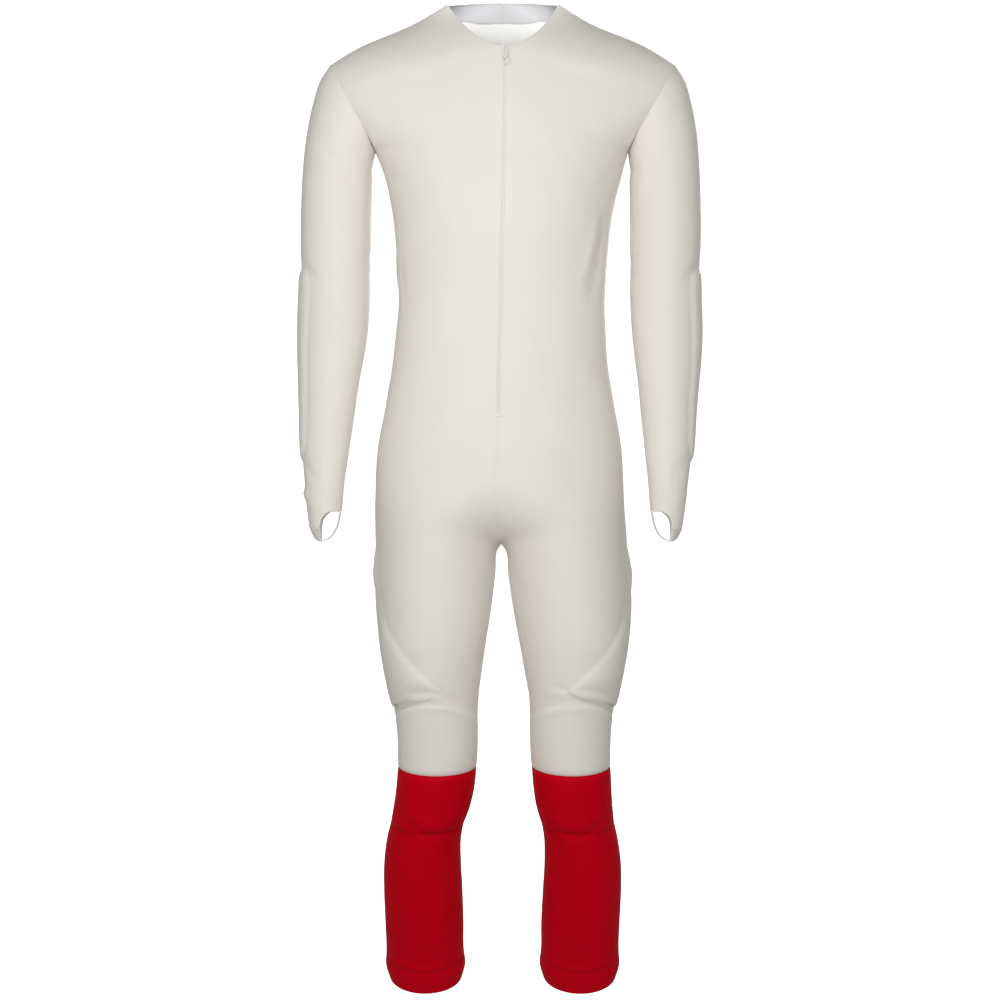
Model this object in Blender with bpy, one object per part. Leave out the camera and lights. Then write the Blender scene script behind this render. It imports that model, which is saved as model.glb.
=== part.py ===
"""Ski race suit, filled out with no wearer: stretch knit panels, pads, hand loops and a front zip.

Lengths in the tables are millimetres and angles are degrees. X runs across the shoulders, the front
faces -Y and Z is up. The origin lies between the shoulder seams, halfway down their slope.
"""

import math

import bmesh
import bpy
import numpy as np
from mathutils import Matrix, Vector

# Driving dimensions
MM = 0.001
WALL = 2.0
HEM_WALL = 2.6
SEAM_GAP = 0.3
SEGMENTS = 10  # grid cells from a centre seam to a side seam, and half of those round a sleeve
NECK_HALF_WIDTH = 82.0
NECK_Y = 10.0
NECK_Z = 46.0
FRONT_NECK_DEPTH = 98.0
FRONT_NECK_DROP = 79.5
FRONT_NECK_POWER = 1.8
BACK_NECK_DEPTH = 52.0
BACK_NECK_RISE = 14.0
FRONT_NECK_ROWS = 5
BACK_NECK_ROWS = 4
ARMHOLE_ROWS = 10
SHOULDER_DIP = 4.0
YOKE_TURN_TOP = 58.0
TORSO_POWER = 0.88
COLUMN_POWER = 0.93
SPREAD_LENGTH = 300.0  # below the armpit, over which the columns become evenly spread
LEG_TURN = 60.0  # how far a row has turned under where it is fully a leg's

ZIP_HALF_WIDTH = 1.6
FACING_THICKNESS = 1.2
CUFF_TONGUE_Z = -714.0
CUFF_PALM_Z = -691.0
TONGUE_ANGLE = 72.0
PALM_ANGLE = 120.0
LOOP_HALF_CELLS = 4
KNEE_RAISE = 3.2

# Sections of body and leg from the armpit down, named where a seam runs.
# z is at the side seam, width the side's x, inner the x of the inseam, turn_f and turn_b how far the
# row has turned in under the crotch, side_y the side seam's y, front and back the depths from it,
# rise_f and rise_b how much higher the front and back middle lie, drop how far the inner end falls.
BODY_COLUMNS = (
    "name", "z", "width", "inner", "turn_f", "turn_b", "side_y", "front", "back", "rise_f", "rise_b", "drop",
)
BODY_ROWS = (
    ("armpit", -171, 183, 0, 0, 0, 0, 108, 106, 0, 0, 0),
    ("", -201, 173, 0, 0, 0, 0, 112, 106, 0, 0, 0),
    ("", -236, 164, 0, 0, 0, 0, 113, 102, 0, 0, 0),
    ("", -271, 157.5, 0, 0, 0, 0, 111, 97, 0, 0, 0),
    ("", -306, 154, 0, 0, 0, 0, 107, 91, 0, 0, 0),
    ("", -348, 151, 0, 0, 0, 0, 102, 85, 0, 0, 0),
    ("", -393, 149, 0, 0, 0, 0, 99, 82, 0, 0, 0),
    ("", -436, 152, 0, 0, 0, 0, 100, 85, 0, 0, 0),
    ("", -478, 156, 0, 0, 0, 0, 103, 93, 0, 0, 0),
    ("", -518, 162.5, 0, 0, 0, 0, 106, 103, 0, 0, 0),
    ("zip_end", -558, 169.5, 0, 0, 0, 0, 108, 112, 0, 0, 0),
    ("", -562, 170.3, 0, 0, 0, 0, 108, 113, 0, 0, 0),
    ("", -595, 176, 0, 0, 0, 1, 110, 119, 0, 0, 0),
    ("", -630, 179, 0, 0, 0, 2, 111, 123, 0, 0, 0),
    ("", -662, 180, 0, 14, 10, 3, 111, 123, 0, 0, 6),
    ("", -688, 181, 0, 36, 30, 3, 109, 119, 0, 0, 16),
    ("", -709, 181.5, 0, 62, 58, 2, 106, 113, 0, 0, 22),
    ("crotch", -726, 182, 0, 90, 90, 1, 103, 108, 0, 0, 12),
    ("", -746, 182, 6.5, 90, 90, 0, 101, 104, 0, 0, 2),
    ("", -776, 183, 9.5, 90, 90, -2, 98, 98, 0, 0, 0),
    ("", -812, 182.5, 15, 90, 90, -5, 94, 92, 0, 0, 0),
    ("", -848, 180, 21, 90, 90, -8, 90, 86, 0, 0, 0),
    ("", -884, 175.5, 27, 90, 90, -11, 85, 80, 2, 0, 0),
    ("", -920, 169, 32, 90, 90, -14, 79, 74, 6, 0, 0),
    ("", -953, 162, 36, 90, 90, -16, 73, 69, 13, 0, 0),
    ("knee_top", -985, 156, 38, 90, 90, -17, 67, 64, 22, 2, 0),
    ("", -1021, 152.5, 38.5, 90, 90, -17, 63, 60, 8, 5, 0),
    ("colour_change", -1057, 152.5, 40.5, 90, 90, -14, 61, 58, -9, 8, 0),
    ("", -1088, 154.5, 43.5, 90, 90, -9, 60, 57, -11, 10, 0),
    ("", -1112, 157, 48, 90, 90, -4, 59, 56, -13, 11, 0),
    ("pad_end", -1138, 161, 56, 90, 90, 2, 57, 57, -14, 12, 0),
    ("", -1164, 167, 60.5, 90, 90, 8, 56, 59, -14, 13, 0),
    ("", -1200, 172, 61, 90, 90, 16, 57, 61, -14, 14, 0),
    ("", -1240, 173, 59, 90, 90, 25, 57, 61, -15, 15, 0),
    ("", -1290, 171.5, 57, 90, 90, 35, 56, 59, -15, 15, 0),
    ("band_top", -1342, 171, 56, 90, 90, 45, 56, 58, -15, 15, 0),
    ("", -1352, 172, 54.5, 90, 90, 47, 57, 59, -15, 15, 0),
    ("hem", -1375, 166, 60, 90, 90, 50, 54, 56, -15, 15, 0),
)

# Sections of a sleeve from the armhole down: x and z of the outer and inner side, half depth and y.
SLEEVE_COLUMNS = ("outer_x", "outer_z", "inner_x", "inner_z", "depth", "y")
SLEEVE_ROWS = (
    (250, -45, 183, -171, 56, 0),
    (264, -66, 183.6, -174, 57, 0),
    (274, -97, 184.2, -178, 57, 1),
    (281.5, -134, 184.8, -183, 57, 2),
    (286, -172, 185.4, -194, 56, 3),
    (288.5, -208, 186, -210, 55.5, 5),
    (290, -240, 187, -240, 55, 7),
    (291, -273, 188, -273, 54, 10),
    (291, -306, 188.5, -306, 53, 12),
    (289.5, -336, 189, -336, 52.5, 12),
    (288.5, -366, 189, -366, 52.5, 9),
    (289, -400, 189.5, -400, 51.5, 4),
    (289, -436, 191.5, -436, 49.5, -2),
    (287.5, -472, 196, -472, 46.5, -8),
    (285, -508, 201.5, -508, 43, -14),
    (282.5, -544, 205.5, -544, 39.5, -20),
    (280.5, -580, 209.5, -580, 36, -26),
    (278, -616, 213.5, -616, 33, -32),
    (274, -650, 217.5, -650, 30, -38),
    (271, -680, 219.5, -680, 28, -43),
)
CUFF_ROW = (266.5, 220.5, 27, -46)  # outer x, inner x, half depth and y of the sleeve's end

# The hand loop's outer face below the tongue: x, z, half width along Y and how far its edges wrap in.
LOOP_COLUMNS = ("x", "z", "half_width", "wrap")
LOOP_ROWS = (
    (262.5, -723, 20, 12),
    (258.5, -730, 16, 8),
    (252, -733.5, 13.5, 2),
    (243, -732, 12, 0),
    (234, -726, 11, 0),
    (226.5, -713, 11, 0),
    (221.6, -691.6, 11, 0),
)

# How far the suit leans to one side at each height: the body and legs, the sleeves, and the front edge.
BODY_SWAY = ((-1390, 1.5), (-1150, 1.5), (-1080, 3.6), (-830, 3.6), (-750, 0), (-690, -2.5), (-500, -2.5),
             (-400, 0), (-230, 2), (60, 2))
SLEEVE_SWAY = ((-740, -8), (-640, -7.5), (-560, -5.5), (-440, -2.5), (-270, -1), (-100, 1), (-45, 2))
LEAN_DEPTH = 70.0  # how far forward a point lies where the front edge's lean is full
LEAN_REACH = 140.0  # how far to the side it has faded
SLEEVE_START = 165.0
SLEEVE_BLEND = 18.0
FRONT_LEAN = ((-760, 0), (-724, -4), (-683, -6), (-622, -4.3), (-560, -2), (-300, 0), (-30, 3))

# Pad outlines: the thigh pad in x and z, the forearm pad in y and z, as seen from the front and the side.
THIGH_PAD_OUTLINE = ((200, -741), (184, -743), (178, -800), (171, -838), (160, -866), (135, -900), (110, -925),
                     (86, -941), (90, -950), (120, -963), (165, -979), (200, -979))
FOREARM_PAD_OUTLINE = ((-4, -338), (-24, -346), (-31, -366), (-36, -420), (-51, -580), (-49, -606), (-36, -622),
                       (-12, -621), (0, -600), (46, -400), (50, -362), (40, -342))
PAD_EDGE = 1.3
PAD_CROWN = 3.4
PAD_SLOPE = 26.0

# Zip hardware
SLIDER_Z = -45.0
SLIDER_SIZE = (8.6, 3.6, 12.5)  # across, proud of the tape, along
BAIL_WIDTH = 1.8
BAIL_HEIGHT = 3.4
BAIL_SHOULDER = 2.04  # height at which the bail's legs turn towards its top bar
BAIL_BAR = 1.2
BAIL_TOP_BAR = 0.96
BAIL_SETBACK = 1.6  # from the slider's ends to the bail's feet
BAIL_ROOT = 0.5  # how far its feet reach into the slider
BAIL_TOP_SHARE = 0.45  # the top bar's length as a share of the reach between the feet
TAB_THICKNESS = 1.4
TAB_CLEARANCE = 0.5
TAB_SLOT_MARGIN = 0.2
TAB_LENGTH = 19.0
TAB_RING_RADIUS = 6.0
TAB_RING_HOLE = 3.6
TAB_HEAD_HALF_WIDTH = 3.0
TAB_NECK_HALF_WIDTH = 1.9
TAB_HEAD_MARGIN = 2.4  # from the bail's foot to the end of the tab's wide head
TAB_NECK_MARGIN = 4.0
TAB_RING_OPEN_ANGLE = 60.0  # half the angle of the ring that meets the neck
TAB_RING_STEPS = 14
STOP_SIZE = (9.5, 1.2, 2.6)
STOP_OVERLAP = 1.5  # how far the stop's middle lies above the zip's end
STOP_BEVEL = 0.3
CUTTER_REACH = 20.0
CUTTER_SIDES = 20

COLOURS = {
    "knit_white": ((0.83, 0.80, 0.76, 1), 0.55),
    "knit_red": ((0.45, 0.004, 0.008, 1), 0.5),
    "facing": ((0.86, 0.85, 0.83, 1), 0.65),
    "zip": ((0.84, 0.83, 0.80, 1), 0.4),
}


def clear_scene():
    for old in list(bpy.data.objects):
        bpy.data.objects.remove(old)


def material(name):
    colour, roughness = COLOURS[name]
    made = bpy.data.materials.get(name) or bpy.data.materials.new(name)
    made.use_nodes = True
    shader = made.node_tree.nodes["Principled BSDF"]
    shader.inputs["Base Color"].default_value = colour
    shader.inputs["Roughness"].default_value = roughness
    shader.inputs["Metallic"].default_value = 0.0
    return made


def unit(vectors):
    return vectors / np.maximum(np.linalg.norm(vectors, axis=-1, keepdims=True), 1e-9)


def mirrored(points):
    return points * np.array([-1.0, 1.0, 1.0])


def look_up(table, z):
    heights, shifts = np.array(table, dtype=float).T
    return np.interp(z, heights, shifts)


def leaned(points, sleeve):
    """The points moved across by the sway at their height, and by the front edge's own lean near it."""
    x, y, z = np.moveaxis(points, -1, 0)
    frontness = np.clip(-y / LEAN_DEPTH, 0, 1) * np.clip(1 - np.abs(x) / LEAN_REACH, 0, 1)
    above_armpit = z > BODY_ROWS[0][1] - 1
    in_sleeve = 1.0 if sleeve else np.clip((np.abs(x) - SLEEVE_START) / SLEEVE_BLEND, 0, 1) * above_armpit
    shift = (look_up(BODY_SWAY, z) + look_up(FRONT_LEAN, z) * frontness) * (1 - in_sleeve)
    return points + np.stack([shift + look_up(SLEEVE_SWAY, z) * in_sleeve, 0 * y, 0 * z], axis=-1)


def body_row(row, back):
    """One half section from its inner end to the side seam, as an arc of a rounded ellipse."""
    at = dict(zip(BODY_COLUMNS, row))
    depth = at["back"] if back else -at["front"]
    turn = math.radians(at["turn_b"] if back else at["turn_f"])
    rise = at["rise_b"] if back else at["rise_f"]
    in_leg = min(1.0, (at["turn_b"] if back else at["turn_f"]) / LEG_TURN)
    spread = COLUMN_POWER + (1 - COLUMN_POWER) * min(1.0, (BODY_ROWS[0][1] - at["z"]) / SPREAD_LENGTH)
    power = TORSO_POWER + (1 - TORSO_POWER) * in_leg
    share = np.linspace(0, 1, SEGMENTS + 1) ** spread
    angle = -turn + (math.pi / 2 + turn) * share
    sine = np.sign(np.sin(angle)) * np.abs(np.sin(angle)) ** power
    cosine = np.maximum(np.cos(angle), 0) ** power
    inner_sine = -(math.sin(turn) ** power)
    across = (sine - inner_sine) / (1 - inner_sine)
    x = at["inner"] + (at["width"] - at["inner"]) * across
    y = at["side_y"] + depth * cosine
    z = at["z"] + rise * cosine - at["drop"] * (1 - share) ** 2
    return np.stack([x, y, z], axis=-1)


def sleeve_ring(row):
    """One section of a sleeve, from the outer side round the front, the inner side and the back."""
    at = dict(zip(SLEEVE_COLUMNS, row))
    angle = np.linspace(0, 2 * math.pi, 2 * SEGMENTS, endpoint=False)
    outer = np.array([at["outer_x"], 0, at["outer_z"]])
    inner = np.array([at["inner_x"], 0, at["inner_z"]])
    middle = (outer + inner) / 2 + np.array([0, at["y"], 0])
    ring = middle + np.cos(angle)[:, None] * (outer - inner) / 2
    ring[:, 1] -= at["depth"] * np.sin(angle)
    return ring


def cuff_ring():
    """The sleeve's end: low on the outer side, where the hand loop starts, and higher at the palm."""
    outer_x, inner_x, depth, y = CUFF_ROW
    ring = sleeve_ring((outer_x, 0, inner_x, 0, depth, y))
    turn = np.degrees(np.linspace(0, 2 * math.pi, 2 * SEGMENTS, endpoint=False))
    from_outer = np.minimum(turn, 360 - turn)
    share = np.clip((from_outer - TONGUE_ANGLE) / (PALM_ANGLE - TONGUE_ANGLE), 0, 1)
    ring[:, 2] = CUFF_TONGUE_Z + (CUFF_PALM_Z - CUFF_TONGUE_Z) * np.sqrt(share * (2 - share))
    return ring


def neck_point(row, back):
    """The inner end of a yoke row: along the neckline, then down the centre seam to the armpit's height."""
    rows = BACK_NECK_ROWS if back else FRONT_NECK_ROWS
    angle = math.pi / 2 * min(1.0, row / rows)
    if back:
        y = NECK_Y + BACK_NECK_DEPTH * math.sin(angle)
        z = NECK_Z + BACK_NECK_RISE * math.sin(angle)
        level_y = BODY_ROWS[0][BODY_COLUMNS.index("back")]
    else:
        y = NECK_Y - FRONT_NECK_DEPTH * math.sin(angle)
        z = NECK_Z - FRONT_NECK_DROP * math.sin(angle) ** FRONT_NECK_POWER
        level_y = -BODY_ROWS[0][BODY_COLUMNS.index("front")]
    if row > rows:
        share = (row - rows) / (ARMHOLE_ROWS - rows)
        z += (BODY_ROWS[0][1] - z) * share
        y += (level_y - y) * math.sin(math.pi / 2 * share)
    return np.array([NECK_HALF_WIDTH * math.cos(angle), y, z])


def yoke_row(row, back, armhole):
    """A row above the armpit, from the neckline or centre seam to a point of the armhole."""
    start = neck_point(row, back)
    end = armhole[-row if back else row]
    share_down = row / ARMHOLE_ROWS
    turn = math.radians(YOKE_TURN_TOP + (90 - YOKE_TURN_TOP) * share_down)
    power = 1 + (TORSO_POWER - 1) * share_down
    share = np.linspace(0, 1, SEGMENTS + 1) ** COLUMN_POWER
    angle = turn * share
    across = (np.sin(angle) / math.sin(turn)) ** power
    back_off = (1 - np.cos(angle) ** power) / (1 - math.cos(turn) ** power)
    x = start[0] + (end[0] - start[0]) * across
    y = start[1] + (end[1] - start[1]) * back_off
    z = start[2] + (end[2] - start[2]) * across
    z -= SHOULDER_DIP * np.sin(2 * math.pi * across) * (1 - share_down) ** 2
    return np.stack([x, y, z], axis=-1)


def half_grid(back, armhole):
    """The front or back of one half of the suit: rows down, columns from the inner edge to the side."""
    rows = [yoke_row(row, back, armhole) for row in range(ARMHOLE_ROWS)]
    rows += [body_row(row, back) for row in BODY_ROWS]
    return np.array(rows)


def loop_grid(cuff):
    """The hand loop, from the tongue's edge under the hand to the inner wrist, seen as rows and columns."""
    cells = np.arange(-LOOP_HALF_CELLS, LOOP_HALF_CELLS + 1)
    rows = [cuff[-cells]]
    middle_y = CUFF_ROW[3]
    for row in LOOP_ROWS:
        at = dict(zip(LOOP_COLUMNS, row))
        v = cells / LOOP_HALF_CELLS
        x = at["x"] - at["wrap"] * v * v
        y = middle_y + at["half_width"] * v
        rows.append(np.stack([x, y, 0 * v + at["z"]], axis=-1))
    return np.array(rows)


def seam_row(name):
    """The grid row of a named section."""
    return ARMHOLE_ROWS + [row[0] for row in BODY_ROWS].index(name)


def triangles(rows, columns, closed, flip, first=0):
    """Index triples of a grid's cells, all split along the same diagonal."""
    j, i = np.meshgrid(np.arange(rows - 1), np.arange(columns - (not closed)), indexing="ij")
    k = (i + 1) % columns
    a, b, c, d = j * columns + i, (j + 1) * columns + i, (j + 1) * columns + k, j * columns + k
    faces = np.concatenate([np.stack([a, b, c], -1).reshape(-1, 3), np.stack([a, c, d], -1).reshape(-1, 3)])
    return (faces[:, ::-1] if flip else faces) + first


def shared_normals(grids):
    """Unit normals of every grid's points, averaged over all grids that meet at a point."""
    points = np.concatenate([grid["points"].reshape(-1, 3) for grid in grids])
    keys = np.round(points, 2) + 0.0
    _, index = np.unique(keys, axis=0, return_inverse=True)
    index = index.reshape(-1)
    total = np.zeros((index.max() + 1, 3))
    first = 0
    for grid in grids:
        rows, columns = grid["points"].shape[:2]
        faces = triangles(rows, columns, grid["closed"], grid["flip"], first)
        corners = points[faces]
        turned = np.cross(corners[:, 1] - corners[:, 0], corners[:, 2] - corners[:, 0])
        for corner in range(3):
            np.add.at(total, index[faces[:, corner]], turned)
        first += rows * columns
    normals = unit(total)[index]
    first = 0
    for grid in grids:
        rows, columns = grid["points"].shape[:2]
        grid["normals"] = normals[first:first + rows * columns].reshape(rows, columns, 3)
        first += rows * columns


def seam_shift(line, beside, normals, closed, amount):
    """How far a border's points move towards the piece's inside, square to the seam and to its normals."""
    along = np.roll(line, -1, axis=0) - np.roll(line, 1, axis=0) if closed else np.gradient(line, axis=0)
    along = unit(along - normals * np.sum(along * normals, axis=-1, keepdims=True))
    inwards = beside - line
    inwards = inwards - normals * np.sum(inwards * normals, axis=-1, keepdims=True)
    inwards = inwards - along * np.sum(inwards * along, axis=-1, keepdims=True)
    return unit(inwards) * np.reshape(amount, (-1, 1))


def pulled(points, normals, edges, closed):
    """The points with each open border moved in along the surface by that border's amount."""
    moved = points.copy()
    borders = {"top": (0, 1), "bottom": (-1, -2)}
    for name, (edge, beside) in borders.items():
        if name in edges:
            moved[edge] += seam_shift(points[edge], points[beside], normals[edge], closed, edges[name])
    borders = {"inner": (0, 1), "outer": (-1, -2)}
    for name, (edge, beside) in borders.items():
        if name in edges:
            amount = np.broadcast_to(edges[name], len(points))
            sewn = amount > 0
            moved[sewn, edge] += seam_shift(points[sewn, edge], points[sewn, beside], normals[sewn, edge],
                                            False, amount[sewn])
    return moved


def border(rows, columns, closed):
    """Pairs of grid indices round the open borders, each in the direction that an outer face runs."""
    at = np.arange(rows * columns).reshape(rows, columns)
    if closed:
        top = at[0]
        bottom = at[-1]
        loops = [np.stack([top, np.roll(top, -1)], -1)[:, ::-1], np.stack([bottom, np.roll(bottom, -1)], -1)]
        return np.concatenate(loops)
    loop = np.concatenate([at[:-1, 0], at[-1, :-1], at[:0:-1, -1], at[0, :0:-1]])
    return np.stack([loop, np.roll(loop, -1)], -1)


def rim_faces(points, pairs, count):
    """Triangles of a rim, with each cell's diagonal chosen by place, so that rims that meet run alike."""
    a, b = pairs[:, 0], pairs[:, 1]
    place = np.abs(points) @ np.array([0.21, 0.37, 1.0])
    from_a = (place[a] > place[b])[:, None]
    first = np.where(from_a, np.stack([b, a, b + count], -1), np.stack([b, a, a + count], -1))
    second = np.where(from_a, np.stack([a, a + count, b + count], -1), np.stack([b, a + count, b + count], -1))
    return np.concatenate([first, second])


def add_object(name, points, faces, finish):
    """A closed mesh object from points in millimetres."""
    mesh = bpy.data.meshes.new(name)
    mesh.from_pydata((np.asarray(points) * MM).tolist(), [], [list(map(int, f)) for f in faces])
    mesh.validate()
    made = bpy.data.objects.new(name, mesh)
    bpy.context.scene.collection.objects.link(made)
    made.data.materials.append(material(finish))
    mesh.shade_smooth()
    mesh.set_sharp_from_angle(angle=math.radians(40))
    return made


def wall_piece(name, grid, finish, rows, columns, edges, raise_by=0.0, inset=0.0, wall=WALL):
    """A closed wall cut from a grid: its outer points, the same points moved in, and a rim between."""
    part = grid["points"][rows[0]:rows[1] + 1, columns[0]:columns[1] + 1]
    normals = grid["normals"][rows[0]:rows[1] + 1, columns[0]:columns[1] + 1]
    closed = grid["closed"]
    base = pulled(part, normals, edges, closed) - inset * normals
    outer = base + normals * np.broadcast_to(raise_by, part.shape[:2])[..., None]
    inner = base - wall * normals
    count_rows, count_columns = part.shape[:2]
    count = count_rows * count_columns
    outside = triangles(count_rows, count_columns, closed, grid["flip"])
    inside = triangles(count_rows, count_columns, closed, not grid["flip"], count)
    pairs = border(count_rows, count_columns, closed)
    if grid["flip"]:
        pairs = pairs[:, ::-1]
    points = np.concatenate([outer.reshape(-1, 3), inner.reshape(-1, 3)])
    faces = np.concatenate([outside, inside, rim_faces(points, pairs, count)])
    return add_object(name, points, faces, finish)


def joined_ring(front, back, rows):
    """Front and back rows of one leg as one closed ring, from the inseam round the front."""
    both = {}
    for key in ("points", "normals"):
        there = front[key][rows[0]:rows[1] + 1]
        round_again = back[key][rows[0]:rows[1] + 1, SEGMENTS - 1:0:-1]
        both[key] = np.concatenate([there, round_again], axis=1)
    return dict(front, closed=True, **both)


def in_outline(outline, a, b):
    """Whether the point a, b lies in a closed outline."""
    inside = False
    for (a0, b0), (a1, b1) in zip(outline, outline[1:] + outline[:1]):
        if (b0 > b) != (b1 > b) and a < a0 + (b - b0) * (a1 - a0) / (b1 - b0):
            inside = not inside
    return inside


def outline_distance(outline, a, b):
    """How far the point a, b lies from the nearest side of an outline."""
    best = 1e9
    for start, end in zip(outline, outline[1:] + outline[:1]):
        start, end, here = Vector(start), Vector(end), Vector((a, b))
        along = end - start
        share = min(1.0, max(0.0, (here - start).dot(along) / along.length_squared))
        best = min(best, (here - start - along * share).length)
    return best


def laid_pad(name, grid, columns, outline, axis, side, finish):
    """A pad cut from the panel's own outer faces by its outline, moved out, and crowned in its middle."""
    points = grid["points"][:, columns]
    count_rows, count_columns = points.shape[:2]
    faces = triangles(count_rows, count_columns, False, grid["flip"])
    mesh = bmesh.new()
    corners = [mesh.verts.new(point) for point in points.reshape(-1, 3)]
    for face in faces:
        mesh.faces.new([corners[int(index)] for index in face])
    if axis == 0:
        outline = tuple((side * a + float(look_up(BODY_SWAY, b)), b) for a, b in outline)
    low, high = min(b for _, b in outline), max(b for _, b in outline)
    far = [f for f in mesh.faces if min(v.co.z for v in f.verts) > high or max(v.co.z for v in f.verts) < low]
    bmesh.ops.delete(mesh, geom=far, context="FACES")
    for start, end in zip(outline, outline[1:] + outline[:1]):
        bottom, top = min(start[1], end[1]) - 0.01, max(start[1], end[1]) + 0.01
        left, right = min(start[0], end[0]) - 0.01, max(start[0], end[0]) + 0.01
        near = [
            f for f in mesh.faces
            if min(v.co.z for v in f.verts) < top and max(v.co.z for v in f.verts) > bottom
            and min(v.co[axis] for v in f.verts) < right and max(v.co[axis] for v in f.verts) > left
        ]
        place, normal = Vector((0, 0, start[1])), Vector((0, 0, -(end[0] - start[0])))
        place[axis] = start[0]
        normal[axis] = end[1] - start[1]
        edges = {e for f in near for e in f.edges}
        verts = {v for f in near for v in f.verts}
        bmesh.ops.bisect_plane(mesh, geom=list(verts) + list(edges) + near, dist=0.05,
                               plane_co=place, plane_no=normal.normalized())
    outside = []
    for face in mesh.faces:
        middle = face.calc_center_median()
        if not in_outline(outline, middle[axis], middle.z):
            outside.append(face)
    bmesh.ops.delete(mesh, geom=outside, context="FACES")
    loose = [v for v in mesh.verts if not v.link_faces]
    bmesh.ops.delete(mesh, geom=loose, context="VERTS")
    bmesh.ops.triangulate(mesh, faces=mesh.faces[:])
    mesh.normal_update()
    under, over = [], []
    for index, vert in enumerate(mesh.verts):
        vert.index = index
        share = min(1.0, outline_distance(outline, vert.co[axis], vert.co.z) / PAD_SLOPE)
        height = PAD_EDGE + PAD_CROWN * share * (2 - share)
        under.append(np.array(vert.co + vert.normal * SEAM_GAP))
        over.append(np.array(vert.co + vert.normal * (SEAM_GAP + height)))
    count = len(under)
    solid = []
    for face in mesh.faces:
        ids = [v.index for v in face.verts]
        solid.append(ids)
        solid.append([index + count for index in reversed(ids)])
    for edge in mesh.edges:
        if len(edge.link_faces) == 1:
            loop = edge.link_loops[0]
            a, b = loop.vert.index, loop.link_loop_next.vert.index
            solid.append([b, a, a + count])
            solid.append([b, a + count, b + count])
    mesh.free()
    return add_object(name, np.array(over + under), solid, finish)


def build_cloth():
    """Every panel, from the grids of one half and their mirror images."""
    armhole = sleeve_ring(SLEEVE_ROWS[0])
    cuff = cuff_ring()
    sleeve_points = np.array([sleeve_ring(row) for row in SLEEVE_ROWS] + [cuff])
    shapes = {
        "front": (half_grid(False, armhole), False, False),
        "back": (half_grid(True, armhole), False, True),
        "sleeve": (sleeve_points, True, True),
        "loop": (loop_grid(cuff), False, False),
    }
    grids, flipped = {}, {}
    for key, (points, closed, flip) in shapes.items():
        in_sleeve = key in ("sleeve", "loop")
        grids[key] = {"points": leaned(points, in_sleeve), "closed": closed, "flip": flip}
        flipped[key] = {"points": leaned(mirrored(points), in_sleeve), "closed": closed, "flip": not flip}
    shared_normals(list(grids.values()) + list(flipped.values()))
    half = SEAM_GAP / 2
    armpit, zip_end, knee_top = seam_row("armpit"), seam_row("zip_end"), seam_row("knee_top")
    change, pad_end = seam_row("colour_change"), seam_row("pad_end")
    band_top, hem = seam_row("band_top"), seam_row("hem")
    front_inner = np.full(knee_top + 1, half)
    front_inner[:FRONT_NECK_ROWS] = 0
    front_inner[FRONT_NECK_ROWS:zip_end + 1] = ZIP_HALF_WIDTH + SEAM_GAP
    back_inner = np.full(change + 1, half)
    back_inner[:BACK_NECK_ROWS] = 0
    arc = np.sqrt(np.cos(np.linspace(-math.pi / 2, math.pi / 2, SEGMENTS + 1)))
    sides = {"right": grids, "left": flipped}
    every = (0, SEGMENTS)
    for side, own in sides.items():
        front, back = own["front"], own["back"]
        wall_piece(f"front_{side}", front, "knit_white", (0, knee_top), every,
                   {"inner": front_inner, "outer": half, "top": half, "bottom": half})
        wall_piece(f"back_{side}", back, "knit_white", (0, change), every,
                   {"inner": back_inner, "outer": half, "top": half, "bottom": half})
        sewn = {"inner": half, "outer": half, "top": half, "bottom": half}
        wall_piece(f"knee_white_{side}", front, "knit_white", (knee_top, change), every, sewn,
                   raise_by=KNEE_RAISE * arc)
        wall_piece(f"knee_red_{side}", front, "knit_red", (change, pad_end), every, sewn,
                   raise_by=KNEE_RAISE * arc)
        wall_piece(f"shin_{side}", front, "knit_red", (pad_end, band_top), every, sewn)
        wall_piece(f"calf_{side}", back, "knit_red", (change, band_top), every, sewn)
        band = joined_ring(front, back, (band_top, hem))
        wall_piece(f"hem_band_{side}", band, "knit_red", (0, hem - band_top), (0, 2 * SEGMENTS),
                   {"top": half}, wall=HEM_WALL)
        rows = len(SLEEVE_ROWS)
        wall_piece(f"sleeve_{side}", own["sleeve"], "knit_white", (0, rows), (0, 2 * SEGMENTS),
                   {"top": half, "bottom": half})
        wall_piece(f"hand_loop_{side}", own["loop"], "knit_white", (0, len(LOOP_ROWS)),
                   (0, 2 * LOOP_HALF_CELLS), {"top": half, "bottom": half})
        for key, rows_of_neck in (("front", FRONT_NECK_ROWS), ("back", BACK_NECK_ROWS)):
            inner = np.zeros(rows_of_neck + 2)
            inner[rows_of_neck:] = ZIP_HALF_WIDTH + SEAM_GAP if key == "front" else half
            wall_piece(f"neck_facing_{key}_{side}", own[key], "facing", (0, rows_of_neck + 1), (0, 1),
                       {"top": half, "inner": inner}, inset=WALL + SEAM_GAP, wall=FACING_THICKNESS)
    return sides


def build_pads(sides):
    for side, own in sides.items():
        sign = 1 if side == "right" else -1
        ring = joined_ring(own["front"], own["back"], (seam_row("crotch"), seam_row("knee_top")))
        around = list(range(3, 2 * SEGMENTS - 2))
        laid_pad(f"thigh_pad_{side}", ring, around, THIGH_PAD_OUTLINE, 0, sign, "knit_white")
        outer_side = list(range(-SEGMENTS // 2, SEGMENTS // 2 + 1))
        laid_pad(f"forearm_pad_{side}", own["sleeve"], outer_side, FOREARM_PAD_OUTLINE, 1, sign, "knit_white")


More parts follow.
